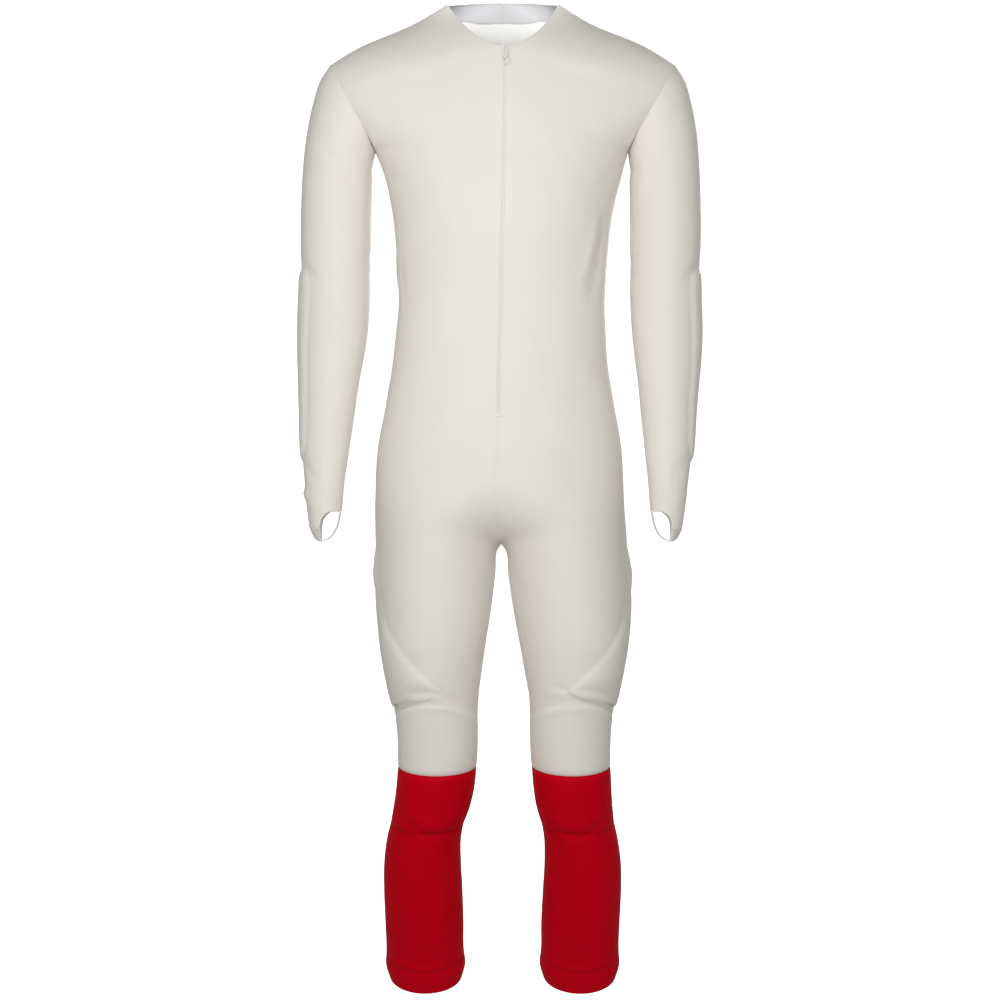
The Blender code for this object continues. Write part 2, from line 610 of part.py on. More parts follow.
def build_zip(front):
    """The closed zip between the fronts, made from the centre front's own points."""
    rows = slice(FRONT_NECK_ROWS, seam_row("zip_end") + 1)
    line = front["points"][rows, :1].copy()
    normals = front["normals"][rows, :1].copy()
    normals[..., 0] = 0
    across = np.array([ZIP_HALF_WIDTH, 0, 0])
    grid = {
        "points": np.concatenate([line - across, line + across], axis=1),
        "normals": np.concatenate([unit(normals)] * 2, axis=1),
        "closed": False, "flip": False,
    }
    wall_piece("zip_chain", grid, "zip", (0, len(line) - 1), (0, 1), {"bottom": SEAM_GAP})


def front_frame(front, z):
    """Place and turn of hardware on the centre front: local X across, Y out of the cloth, Z up along it."""
    line = front["points"][FRONT_NECK_ROWS:, 0]
    row = int(np.argmax(line[:, 2] < z))
    above, below = line[row - 1], line[row]
    share = (above[2] - z) / (above[2] - below[2])
    place = above + (below - above) * share
    up = Vector(unit((above - below) * np.array([0, 1, 1])))
    across = Vector((1, 0, 0))
    turn = Matrix((across, up.cross(across), up)).transposed()
    return Vector(place), turn


def box(mesh, low, high):
    """An axis-aligned block, in millimetres."""
    made = bmesh.ops.create_cube(mesh, size=1)["verts"]
    low, high = Vector(low), Vector(high)
    for vert in made:
        for axis in range(3):
            vert.co[axis] = low[axis] if vert.co[axis] < 0 else high[axis]
    return made


def hardware(name, mesh, finish, place, turn, bevel=0.0):
    """A small hard piece from a mesh in its own frame, placed on the cloth."""
    bmesh.ops.recalc_face_normals(mesh, faces=mesh.faces[:])
    bmesh.ops.transform(mesh, matrix=Matrix.Scale(MM, 4), verts=mesh.verts[:])
    data = bpy.data.meshes.new(name)
    mesh.to_mesh(data)
    mesh.free()
    made = bpy.data.objects.new(name, data)
    bpy.context.scene.collection.objects.link(made)
    made.matrix_world = Matrix.Translation(place * MM) @ turn.to_4x4()
    made.data.materials.append(material(finish))
    if bevel:
        rounded = made.modifiers.new("rounded", "BEVEL")
        rounded.width = bevel * MM
        rounded.segments = 2
        rounded.limit_method = "ANGLE"
    return made


def hidden(made):
    """A shape that cuts or joins another, and isn't a piece itself."""
    made.hide_render = True
    made.display_type = "WIRE"
    return made


def slot_cutter(half_x, half_z, place, turn, at_z):
    """A block that cuts a slot through a piece along its thickness."""
    mesh = bmesh.new()
    box(mesh, (-half_x, -CUTTER_REACH, at_z - half_z), (half_x, CUTTER_REACH, at_z + half_z))
    return hidden(hardware("tab_slot_cutter", mesh, "zip", place, turn))


def hole_cutter(radius, place, turn, at_z):
    """A round bar that cuts a hole through a piece along its thickness."""
    mesh = bmesh.new()
    turned = Matrix.Translation((0, 0, at_z)) @ Matrix.Rotation(math.pi / 2, 4, "X")
    bmesh.ops.create_cone(mesh, segments=CUTTER_SIDES, cap_ends=True, radius1=radius, radius2=radius,
                          depth=2 * CUTTER_REACH, matrix=turned)
    return hidden(hardware("tab_hole_cutter", mesh, "zip", place, turn))


def build_slider(front):
    """The slider's body with its bail, and the place and turn of the bar that the pull tab swings on."""
    place, turn = front_frame(front, SLIDER_Z)
    across, proud, along = SLIDER_SIZE
    bail_reach = along / 2 - BAIL_SETBACK
    mesh = bmesh.new()
    box(mesh, (-across / 2, -SEAM_GAP - proud, -along / 2), (across / 2, -SEAM_GAP, along / 2))
    body = hardware("zip_slider", mesh, "zip", place, turn)
    top = -SEAM_GAP - proud
    foot, shoulder, bar_z = top + BAIL_ROOT, top - BAIL_SHOULDER, bail_reach * BAIL_TOP_SHARE
    outer, inner = top - BAIL_HEIGHT, top - BAIL_HEIGHT + BAIL_TOP_BAR
    within = bail_reach - BAIL_BAR
    profile = ((foot, -bail_reach), (shoulder, -bail_reach), (outer, -bar_z),
               (outer, bar_z), (shoulder, bail_reach), (foot, bail_reach))
    hollow = ((foot, -within), (shoulder, -within), (inner, -bar_z),
              (inner, bar_z), (shoulder, within), (foot, within))
    mesh = bmesh.new()
    ring = profile + hollow[::-1]
    low = [mesh.verts.new((-BAIL_WIDTH / 2, y, z)) for y, z in ring]
    high = [mesh.verts.new((BAIL_WIDTH / 2, y, z)) for y, z in ring]
    count = len(profile)
    for index in range(len(ring)):
        after = (index + 1) % len(ring)
        mesh.faces.new((low[index], low[after], high[after], high[index]))
    for index in range(count - 1):
        other = len(ring) - 1 - index
        mesh.faces.new((low[index], low[index + 1], low[other - 1], low[other]))
        mesh.faces.new((high[index], high[other], high[other - 1], high[index + 1]))
    joined = body.modifiers.new("bail", "BOOLEAN")
    joined.operation = "UNION"
    joined.solver = "EXACT"
    joined.object = hidden(hardware("zip_bail_shape", mesh, "zip", place, turn))
    axis_out = top - (BAIL_HEIGHT - BAIL_TOP_BAR) / 2
    return place + turn @ Vector((0, axis_out, 0)), turn, bail_reach


def build_tab(hinge, turn, bail_reach):
    """The pull tab: its head is a bar that turns under the bail, and its ring hangs below the slider."""
    mesh = bmesh.new()
    half = TAB_THICKNESS / 2
    ring_z = -(TAB_LENGTH - TAB_RING_RADIUS)
    outline = [(-TAB_HEAD_HALF_WIDTH, half), (-TAB_HEAD_HALF_WIDTH, -bail_reach - TAB_HEAD_MARGIN),
               (-TAB_NECK_HALF_WIDTH, -bail_reach - TAB_NECK_MARGIN)]
    for step in range(TAB_RING_STEPS + 1):
        swept = 360 - 2 * TAB_RING_OPEN_ANGLE
        turn_by = math.radians(90 + TAB_RING_OPEN_ANGLE + swept * step / TAB_RING_STEPS)
        outline.append((TAB_RING_RADIUS * math.cos(turn_by), ring_z + TAB_RING_RADIUS * math.sin(turn_by)))
    outline += [(-x, z) for x, z in outline[2::-1]]
    near = [mesh.verts.new((x, -half, z)) for x, z in outline]
    far = [mesh.verts.new((x, half, z)) for x, z in outline]
    mesh.faces.new(near)
    mesh.faces.new(far[::-1])
    for index in range(len(outline)):
        after = (index + 1) % len(outline)
        mesh.faces.new((near[index], far[index], far[after], near[after]))
    tab = hardware("pull_tab", mesh, "zip", hinge, turn)
    slot_low = -bail_reach - BAIL_BAR - TAB_SLOT_MARGIN
    slot_high = -half
    slot = slot_cutter(BAIL_WIDTH / 2 + TAB_CLEARANCE, (slot_high - slot_low) / 2, hinge, turn,
                       (slot_high + slot_low) / 2)
    for tool in (slot, hole_cutter(TAB_RING_HOLE, hinge, turn, ring_z)):
        cut = tab.modifiers.new(tool.name, "BOOLEAN")
        cut.operation = "DIFFERENCE"
        cut.solver = "EXACT"
        cut.object = tool


def build_stop(front):
    """The stop that is sewn over the zip's lower end."""
    zip_end = BODY_ROWS[[row[0] for row in BODY_ROWS].index("zip_end")]
    place, turn = front_frame(front, zip_end[BODY_COLUMNS.index("z")] + STOP_OVERLAP)
    across, proud, along = STOP_SIZE
    mesh = bmesh.new()
    box(mesh, (-across / 2, -SEAM_GAP - proud, -along / 2), (across / 2, -SEAM_GAP, along / 2))
    hardware("zip_stop", mesh, "zip", place, turn, bevel=STOP_BEVEL)


clear_scene()
suit = build_cloth()
build_pads(suit)
middle = suit["right"]["front"]
build_zip(middle)
build_tab(*build_slider(middle))
build_stop(middle)
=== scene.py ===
import math

import bmesh
import bpy
import numpy as np
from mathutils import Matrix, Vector


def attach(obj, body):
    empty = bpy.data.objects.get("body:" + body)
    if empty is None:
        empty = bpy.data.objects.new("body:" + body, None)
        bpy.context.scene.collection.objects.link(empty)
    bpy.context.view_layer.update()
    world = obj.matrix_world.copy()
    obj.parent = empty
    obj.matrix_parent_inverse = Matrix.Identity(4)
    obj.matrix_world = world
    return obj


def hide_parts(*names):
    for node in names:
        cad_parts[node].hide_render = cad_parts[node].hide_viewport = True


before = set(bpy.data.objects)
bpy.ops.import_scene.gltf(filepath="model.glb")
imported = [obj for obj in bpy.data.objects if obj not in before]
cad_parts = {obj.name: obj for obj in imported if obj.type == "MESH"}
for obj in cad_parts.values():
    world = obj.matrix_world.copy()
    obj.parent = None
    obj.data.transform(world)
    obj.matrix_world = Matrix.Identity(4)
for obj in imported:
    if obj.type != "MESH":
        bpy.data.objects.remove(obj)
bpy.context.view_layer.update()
mm = 0.001
print("frame loaded with", len(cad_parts), "nodes")

# Lengths below are millimetres and angles are degrees unless a note says so.
# The cut repeats the sizes that the solids were made from, and is drawn finer here.
cut = {
    "columns": 50,  # grid cells from a centre seam to a side seam
    "step": 4.0,  # spacing of the rows down the body, legs and sleeves
    "loopStep": 3.0,
    "yokeStep": 0.25,  # share of a yoke row between two drawn ones
    "sleeveColumns": 80,
    "evenRounds": 120,
    "crotchRounds": 70,
    "crotchRows": 5,  # how many sections above and below the crotch are softened
    "wall": 1.1,
    "hemWall": 1.6,
    "seamGap": 0.3,
    "neckHalfWidth": 82.0,
    "neckY": 10.0,
    "neckZ": 46.0,
    "frontNeckDepth": 98.0,
    "frontNeckDrop": 79.5,
    "frontNeckPower": 1.8,
    "backNeckDepth": 52.0,
    "backNeckRise": 14.0,
    "frontNeckRows": 5,
    "backNeckRows": 4,
    "armholeRows": 10,
    "shoulderDip": 4.0,
    "yokeTurnTop": 58.0,
    "torsoPower": 0.88,
    "columnPower": 0.93,
    "zipHalfWidth": 1.6,
    "cuffTongueZ": -714.0,
    "cuffPalmZ": -691.0,
    "tongueAngle": 72.0,
    "palmAngle": 120.0,
    "loopAngle": 72.0,
}

# z at the side seam, width, inner side, turn under the crotch at front and back, the side seam's y,
# depth at front and back, how much higher the middle lies, and how far the inner end falls.
bodyColumns = ("name", "z", "width", "inner", "turnFront", "turnBack", "sideY", "front", "back",
               "riseFront", "riseBack", "drop")
bodyRows = (
    ("armpit", -171, 183, 0, 0, 0, 0, 108, 106, 0, 0, 0),
    ("", -201, 173, 0, 0, 0, 0, 112, 106, 0, 0, 0),
    ("", -236, 164, 0, 0, 0, 0, 113, 102, 0, 0, 0),
    ("", -271, 157.5, 0, 0, 0, 0, 111, 97, 0, 0, 0),
    ("", -306, 154, 0, 0, 0, 0, 107, 91, 0, 0, 0),
    ("", -348, 151, 0, 0, 0, 0, 102, 85, 0, 0, 0),
    ("", -393, 149, 0, 0, 0, 0, 99, 82, 0, 0, 0),
    ("", -436, 152, 0, 0, 0, 0, 100, 85, 0, 0, 0),
    ("", -478, 156, 0, 0, 0, 0, 103, 93, 0, 0, 0),
    ("", -518, 162.5, 0, 0, 0, 0, 106, 103, 0, 0, 0),
    ("zipEnd", -558, 169.5, 0, 0, 0, 0, 108, 112, 0, 0, 0),
    ("", -562, 170.3, 0, 0, 0, 0, 108, 113, 0, 0, 0),
    ("", -595, 176, 0, 0, 0, 1, 110, 119, 0, 0, 0),
    ("", -630, 179, 0, 0, 0, 2, 111, 123, 0, 0, 0),
    ("", -662, 180, 0, 14, 10, 3, 111, 123, 0, 0, 6),
    ("", -688, 181, 0, 36, 30, 3, 109, 119, 0, 0, 16),
    ("", -709, 181.5, 0, 62, 58, 2, 106, 113, 0, 0, 22),
    ("crotch", -726, 182, 0, 90, 90, 1, 103, 108, 0, 0, 12),
    ("", -746, 182, 6.5, 90, 90, 0, 101, 104, 0, 0, 2),
    ("", -776, 183, 9.5, 90, 90, -2, 98, 98, 0, 0, 0),
    ("", -812, 182.5, 15, 90, 90, -5, 94, 92, 0, 0, 0),
    ("", -848, 180, 21, 90, 90, -8, 90, 86, 0, 0, 0),
    ("", -884, 175.5, 27, 90, 90, -11, 85, 80, 2, 0, 0),
    ("", -920, 169, 32, 90, 90, -14, 79, 74, 6, 0, 0),
    ("", -953, 162, 36, 90, 90, -16, 73, 69, 13, 0, 0),
    ("kneeTop", -985, 156, 38, 90, 90, -17, 67, 64, 22, 2, 0),
    ("", -1021, 152.5, 38.5, 90, 90, -17, 63, 60, 8, 5, 0),
    ("colourChange", -1057, 152.5, 40.5, 90, 90, -14, 61, 58, -9, 8, 0),
    ("", -1088, 154.5, 43.5, 90, 90, -9, 60, 57, -11, 10, 0),
    ("", -1112, 157, 48, 90, 90, -4, 59, 56, -13, 11, 0),
    ("padEnd", -1138, 161, 56, 90, 90, 2, 57, 57, -14, 12, 0),
    ("", -1164, 167, 60.5, 90, 90, 8, 56, 59, -14, 13, 0),
    ("", -1200, 172, 61, 90, 90, 16, 57, 61, -14, 14, 0),
    ("", -1240, 173, 59, 90, 90, 25, 57, 61, -15, 15, 0),
    ("", -1290, 171.5, 57, 90, 90, 35, 56, 59, -15, 15, 0),
    ("bandTop", -1342, 171, 56, 90, 90, 45, 56, 58, -15, 15, 0),
    ("", -1352, 172, 54.5, 90, 90, 47, 57, 59, -15, 15, 0),
    ("hem", -1375, 166, 60, 90, 90, 50, 54, 56, -15, 15, 0),
)

armpitZ = bodyRows[0][1]

# Outer x and z, inner x and z, half depth and y of each section of a sleeve.
sleeveRows = (
    (250, -45, 183, -171, 56, 0),
    (264, -66, 183.6, -174, 57, 0),
    (274, -97, 184.2, -178, 57, 1),
    (281.5, -134, 184.8, -183, 57, 2),
    (286, -172, 185.4, -194, 56, 3),
    (288.5, -208, 186, -210, 55.5, 5),
    (290, -240, 187, -240, 55, 7),
    (291, -273, 188, -273, 54, 10),
    (291, -306, 188.5, -306, 53, 12),
    (289.5, -336, 189, -336, 52.5, 12),
    (288.5, -366, 189, -366, 52.5, 9),
    (289, -400, 189.5, -400, 51.5, 4),
    (289, -436, 191.5, -436, 49.5, -2),
    (287.5, -472, 196, -472, 46.5, -8),
    (285, -508, 201.5, -508, 43, -14),
    (282.5, -544, 205.5, -544, 39.5, -20),
    (280.5, -580, 209.5, -580, 36, -26),
    (278, -616, 213.5, -616, 33, -32),
    (274, -650, 217.5, -650, 30, -38),
    (271, -680, 219.5, -680, 28, -43),
)
cuffRow = (266.5, 220.5, 27, -46)

# The hand loop's outer face: x, z, half width and how far its edges wrap in.
loopRows = (
    (262.5, -723, 20, 12),
    (258.5, -730, 16, 8),
    (252, -733.5, 13.5, 2),
    (243, -732, 12, 0),
    (234, -726, 11, 0),
    (226.5, -713, 11, 0),
    (221.6, -691.6, 11, 0),
)

# How far the suit leans aside at each height.
bodySway = ((-1390, 1.5), (-1150, 1.5), (-1080, 3.6), (-830, 3.6), (-750, 0), (-690, -2.5), (-500, -2.5),
            (-400, 0), (-230, 2), (60, 2))
armholeFrom, armholeOver = 165.0, 18.0  # where x passes from the body's sway to the sleeve's
leanDepth, leanReach = 70.0, 140.0  # y at which the front's lean is full, and x at which it ends
sleeveSway = ((-740, -8), (-640, -7.5), (-560, -5.5), (-440, -2.5), (-270, -1), (-100, 1), (-45, 2))
frontLean = ((-760, 0), (-724, -4), (-683, -6), (-622, -4.3), (-560, -2), (-300, 0), (-30, 3))

# A seam's or an edge's cross-section: how far from the edge, and how far the cloth has sunk there.
edgeRoll = ((0.0, 0.75), (0.35, 0.4), (0.9, 0.15), (1.8, 0.03))


def unit(vectors):
    return vectors / np.maximum(np.linalg.norm(vectors, axis=-1, keepdims=True), 1e-9)


def lookUp(table, z):
    # straight lines between the table's pairs of height and shift
    heights, shifts = np.array(table, dtype=float).T
    return np.interp(z, heights, shifts)


def leaned(points, inSleeve):
    # x plus the sway at that height, plus the front edge's own lean, which fades to the side
    x, y, z = np.moveaxis(points, -1, 0)
    frontness = np.clip(-y / leanDepth, 0, 1) * np.clip(1 - np.abs(x) / leanReach, 0, 1)
    share = 1.0 if inSleeve else np.clip((np.abs(x) - armholeFrom) / armholeOver, 0, 1) * (z > armpitZ - 1)
    shift = (lookUp(bodySway, z) + lookUp(frontLean, z) * frontness) * (1 - share)
    return points + np.stack([shift + lookUp(sleeveSway, z) * share, 0 * y, 0 * z], axis=-1)


columnShares = np.linspace(0, 1, cut["columns"] + 1)


def bodyRow(row, back):
    # half a rounded ellipse: across is a power of the sine and depth a power of the cosine of the turn
    at = dict(zip(bodyColumns, row))
    depth = at["back"] if back else -at["front"]
    turned = at["turnBack"] if back else at["turnFront"]
    turn, rise = math.radians(turned), at["riseBack"] if back else at["riseFront"]
    spread = cut["columnPower"] + (1 - cut["columnPower"]) * min(1.0, (armpitZ - at["z"]) / 300.0)
    power = cut["torsoPower"] + (1 - cut["torsoPower"]) * min(1.0, turned / 60.0)
    share = columnShares ** spread
    angle = -turn + (math.pi / 2 + turn) * share
    sine = np.sign(np.sin(angle)) * np.abs(np.sin(angle)) ** power
    cosine = np.maximum(np.cos(angle), 0) ** power
    innerSine = -(math.sin(turn) ** power)
    across = (sine - innerSine) / (1 - innerSine)
    x = at["inner"] + (at["width"] - at["inner"]) * across
    z = at["z"] + rise * cosine - at["drop"] * (1 - share) ** 2
    return np.stack([x, at["sideY"] + depth * cosine, z], axis=-1)


def sleeveRing(row, angle):
    # an ellipse between the outer and the inner side, deep along y
    outerX, outerZ, innerX, innerZ, depth, y = row
    outer, inner = np.array([outerX, 0, outerZ]), np.array([innerX, 0, innerZ])
    ring = (outer + inner) / 2 + np.array([0, y, 0]) + np.cos(angle)[:, None] * (outer - inner) / 2
    ring[:, 1] -= depth * np.sin(angle)
    return ring


def cuffRing(angle):
    # the sleeve's end: low at the outer side, and higher by a quarter ellipse towards the palm
    outerX, innerX, depth, y = cuffRow
    ring = sleeveRing((outerX, 0, innerX, 0, depth, y), angle)
    turn = np.degrees(np.mod(angle, 2 * math.pi))
    fromOuter = np.minimum(turn, 360 - turn)
    share = np.clip((fromOuter - cut["tongueAngle"]) / (cut["palmAngle"] - cut["tongueAngle"]), 0, 1)
    ring[:, 2] = cut["cuffTongueZ"] + (cut["cuffPalmZ"] - cut["cuffTongueZ"]) * np.sqrt(share * (2 - share))
    return ring


def neckPoint(row, back):
    # round the neckline as a quarter ellipse, then down the centre seam to the armpit's height
    rows = cut["backNeckRows"] if back else cut["frontNeckRows"]
    angle = math.pi / 2 * min(1.0, row / rows)
    if back:
        y = cut["neckY"] + cut["backNeckDepth"] * math.sin(angle)
        z = cut["neckZ"] + cut["backNeckRise"] * math.sin(angle)
        levelY = bodyRows[0][bodyColumns.index("back")]
    else:
        y = cut["neckY"] - cut["frontNeckDepth"] * math.sin(angle)
        z = cut["neckZ"] - cut["frontNeckDrop"] * math.sin(angle) ** cut["frontNeckPower"]
        levelY = -bodyRows[0][bodyColumns.index("front")]
    if row > rows:
        share = (row - rows) / (cut["armholeRows"] - rows)
        z += (armpitZ - z) * share
        y += (levelY - y) * math.sin(math.pi / 2 * share)
    return np.array([cut["neckHalfWidth"] * math.cos(angle), y, z])


def yokeRow(row, back):
    # from the neckline or the centre seam to the armhole, bulging like part of an ellipse
    start = neckPoint(row, back)
    shareDown = row / cut["armholeRows"]
    end = sleeveRing(sleeveRows[0], np.array([(-1 if back else 1) * math.pi * shareDown]))[0]
    turn = math.radians(cut["yokeTurnTop"] + (90 - cut["yokeTurnTop"]) * shareDown)
    power = 1 + (cut["torsoPower"] - 1) * shareDown
    angle = turn * columnShares ** cut["columnPower"]
    across = (np.sin(angle) / math.sin(turn)) ** power
    backOff = (1 - np.cos(angle) ** power) / (1 - math.cos(turn) ** power)
    x, y, z = (start[k] + (end[k] - start[k]) * (backOff if k == 1 else across) for k in range(3))
    z -= cut["shoulderDip"] * np.sin(2 * math.pi * across) * (1 - shareDown) ** 2
    return np.stack([x, y, z], axis=-1)


def smoothRows(points, step, counts=None):
    # cubic curves down the grid through every row, with tangents from the rows beside, in even steps
    gaps = np.maximum(np.linalg.norm(np.diff(points, axis=0), axis=-1).mean(axis=1), 1e-6)
    counts = np.maximum(1, np.rint(gaps / step)).astype(int) if counts is None else counts
    slopes = np.diff(points, axis=0) / gaps[:, None, None]
    before, after = gaps[:-1, None, None], gaps[1:, None, None]
    middle = (slopes[:-1] * after + slopes[1:] * before) / (before + after)
    tangents = np.concatenate([slopes[:1], middle, slopes[-1:]])
    cell = np.repeat(np.arange(len(gaps)), counts)
    starts = np.concatenate([[0], np.cumsum(counts)])
    t = ((np.arange(len(cell)) - starts[cell]) / counts[cell])[:, None, None]
    gap = gaps[cell][:, None, None]
    fine = ((2 * t ** 3 - 3 * t ** 2 + 1) * points[cell] + (t ** 3 - 2 * t ** 2 + t) * gap * tangents[cell]
            + (3 * t ** 2 - 2 * t ** 3) * points[cell + 1] + (t ** 3 - t ** 2) * gap * tangents[cell + 1])
    return np.concatenate([fine, points[-1:]]), starts, counts


def normalsOf(points, closed, flip):
    # the cross product of the differences down and across the grid
    down = np.gradient(points, axis=0, edge_order=2)
    if closed:
        across = np.roll(points, -1, axis=1) - np.roll(points, 1, axis=1)
    else:
        across = np.gradient(points, axis=1, edge_order=2)
    return unit(np.cross(down, across)) * (-1 if flip else 1)


def lengthsOver(points, closed):
    # distances along the rows and down the columns, in metres, for the weave to follow
    last = points[:, :1] if closed else points[:, -1:]
    across = np.linalg.norm(np.diff(points, axis=1, append=last), axis=-1)
    down = np.linalg.norm(np.diff(points, axis=0, prepend=points[:1]), axis=-1)
    u = np.cumsum(across, axis=1) - across
    return np.stack([u - u[:, -1:] / 2, np.cumsum(down, axis=0)], axis=-1) * mm


def evened(points, hold):
    # each round moves the free points halfway to the mean of their four neighbours and about as far back
    # by their new difference from it, which takes out short waves and leaves the large form
    points, free = points.copy(), ~hold
    for step in (0.5, -0.51) * cut["evenRounds"]:
        mean = sum(np.roll(points, way, axis) for axis in (0, 1) for way in (1, -1)) / 4
        points[free] += step * (mean - points)[free]
    return points


def softCrotch(points, starts):
    # plain averaging, full at the crotch and fading above and below it, so that torso and legs flow together
    middle = len(yokeRows) + names.index("crotch")
    first, last = (int(starts[middle + k]) for k in (-cut["crotchRows"], cut["crotchRows"]))
    band = points[first:last + 1]
    weight = np.sin(np.linspace(0, math.pi, len(band)))[1:-1, None, None]
    for _ in range(cut["crotchRounds"]):
        mean = (band[:-2, 1:-1] + band[2:, 1:-1] + band[1:-1, :-2] + band[1:-1, 2:]) / 4
        band[1:-1, 1:-1] += 0.9 * weight * (mean - band[1:-1, 1:-1])
    return points


def evenYoke(front, back, starts):
    # front and back are evened as one cloth over the shoulder, down to the middle of the thigh
    rows = int(starts[len(yokeRows) + names.index("kneeTop") - 2])
    joined = np.concatenate([back[rows:0:-1], front[:rows + 1]])
    hold = np.zeros(joined.shape[:2], bool)
    hold[:2] = hold[-2:] = hold[:, 0] = hold[:, -1] = True
    joined = evened(joined, hold)
    return (np.concatenate([joined[rows:], front[rows + 1:]]),
            np.concatenate([joined[rows::-1], back[rows + 1:]]))


# A bulk grid holds, for every point, its place, its normal, its two lengths and its lift by creases.
def grid(fine, starts, closed, flip):
    data = np.concatenate([fine, normalsOf(fine, closed, flip), lengthsOver(fine, closed),
                           np.zeros(fine.shape[:2] + (1,))], axis=-1)
    return {"data": data, "closed": closed, "flip": flip, "starts": starts}


yokeRows = np.arange(0, cut["armholeRows"], cut["yokeStep"])
names = [row[0] for row in bodyRows]


def halfPoints(back):
    return np.array([yokeRow(row, back) for row in yokeRows] + [bodyRow(row, back) for row in bodyRows])


def seamRow(made, name):
    # the fine row at which a named section lies
    return int(made["starts"][len(yokeRows) + names.index(name)])


def yokeIndex(made, row):
    return int(made["starts"][int(round(row / cut["yokeStep"]))])


def loopPoints():
    v = np.linspace(-1, 1, 17)
    rows = [cuffRing(-v * math.radians(cut["loopAngle"]))]
    for x, z, half, wrap in loopRows:
        rows.append(np.stack([x - wrap * v * v, cuffRow[3] + half * v, 0 * v + z], axis=-1))
    return np.array(rows)


def sleevePoints():
    angle = np.linspace(0, 2 * math.pi, cut["sleeveColumns"], endpoint=False)
    return np.array([sleeveRing(row, angle) for row in sleeveRows] + [cuffRing(angle)])


mirror = np.array([-1.0, 1.0, 1.0])
halves = {}
for side, sign in (("right", 1), ("left", -1)):
    turnedOver = sign < 0
    own = {}
    scale = mirror if turnedOver else 1
    frontFine, starts, counts = smoothRows(leaned(halfPoints(False) * scale, False), cut["step"])
    backFine = smoothRows(leaned(halfPoints(True) * scale, False), cut["step"], counts)[0]
    frontFine, backFine = (softCrotch(fine, starts) for fine in evenYoke(frontFine, backFine, starts))
    own["front"] = grid(frontFine, starts, False, turnedOver)
    own["back"] = grid(backFine, starts, False, not turnedOver)
    fine, starts, _ = smoothRows(leaned(sleevePoints() * scale, True), cut["step"])
    own["sleeve"] = grid(fine, starts, True, not turnedOver)
    fine, starts, _ = smoothRows(leaned(loopPoints() * scale, True), cut["loopStep"])
    own["loop"] = grid(fine, starts, False, turnedOver)
    front, back = own["front"]["data"], own["back"]["data"]
    for line in ((0, slice(None)), (slice(None), -1), (slice(seamRow(own["front"], "crotch"), None), 0)):
        shared = unit(front[line][..., 3:6] + back[line][..., 3:6])
        front[line + (slice(3, 6),)] = shared
        back[line + (slice(3, 6),)] = shared
    halves[side] = own
print("surfaces worked out:", sum(made["data"][..., 0].size for own in halves.values()
                                 for made in own.values()), "points")


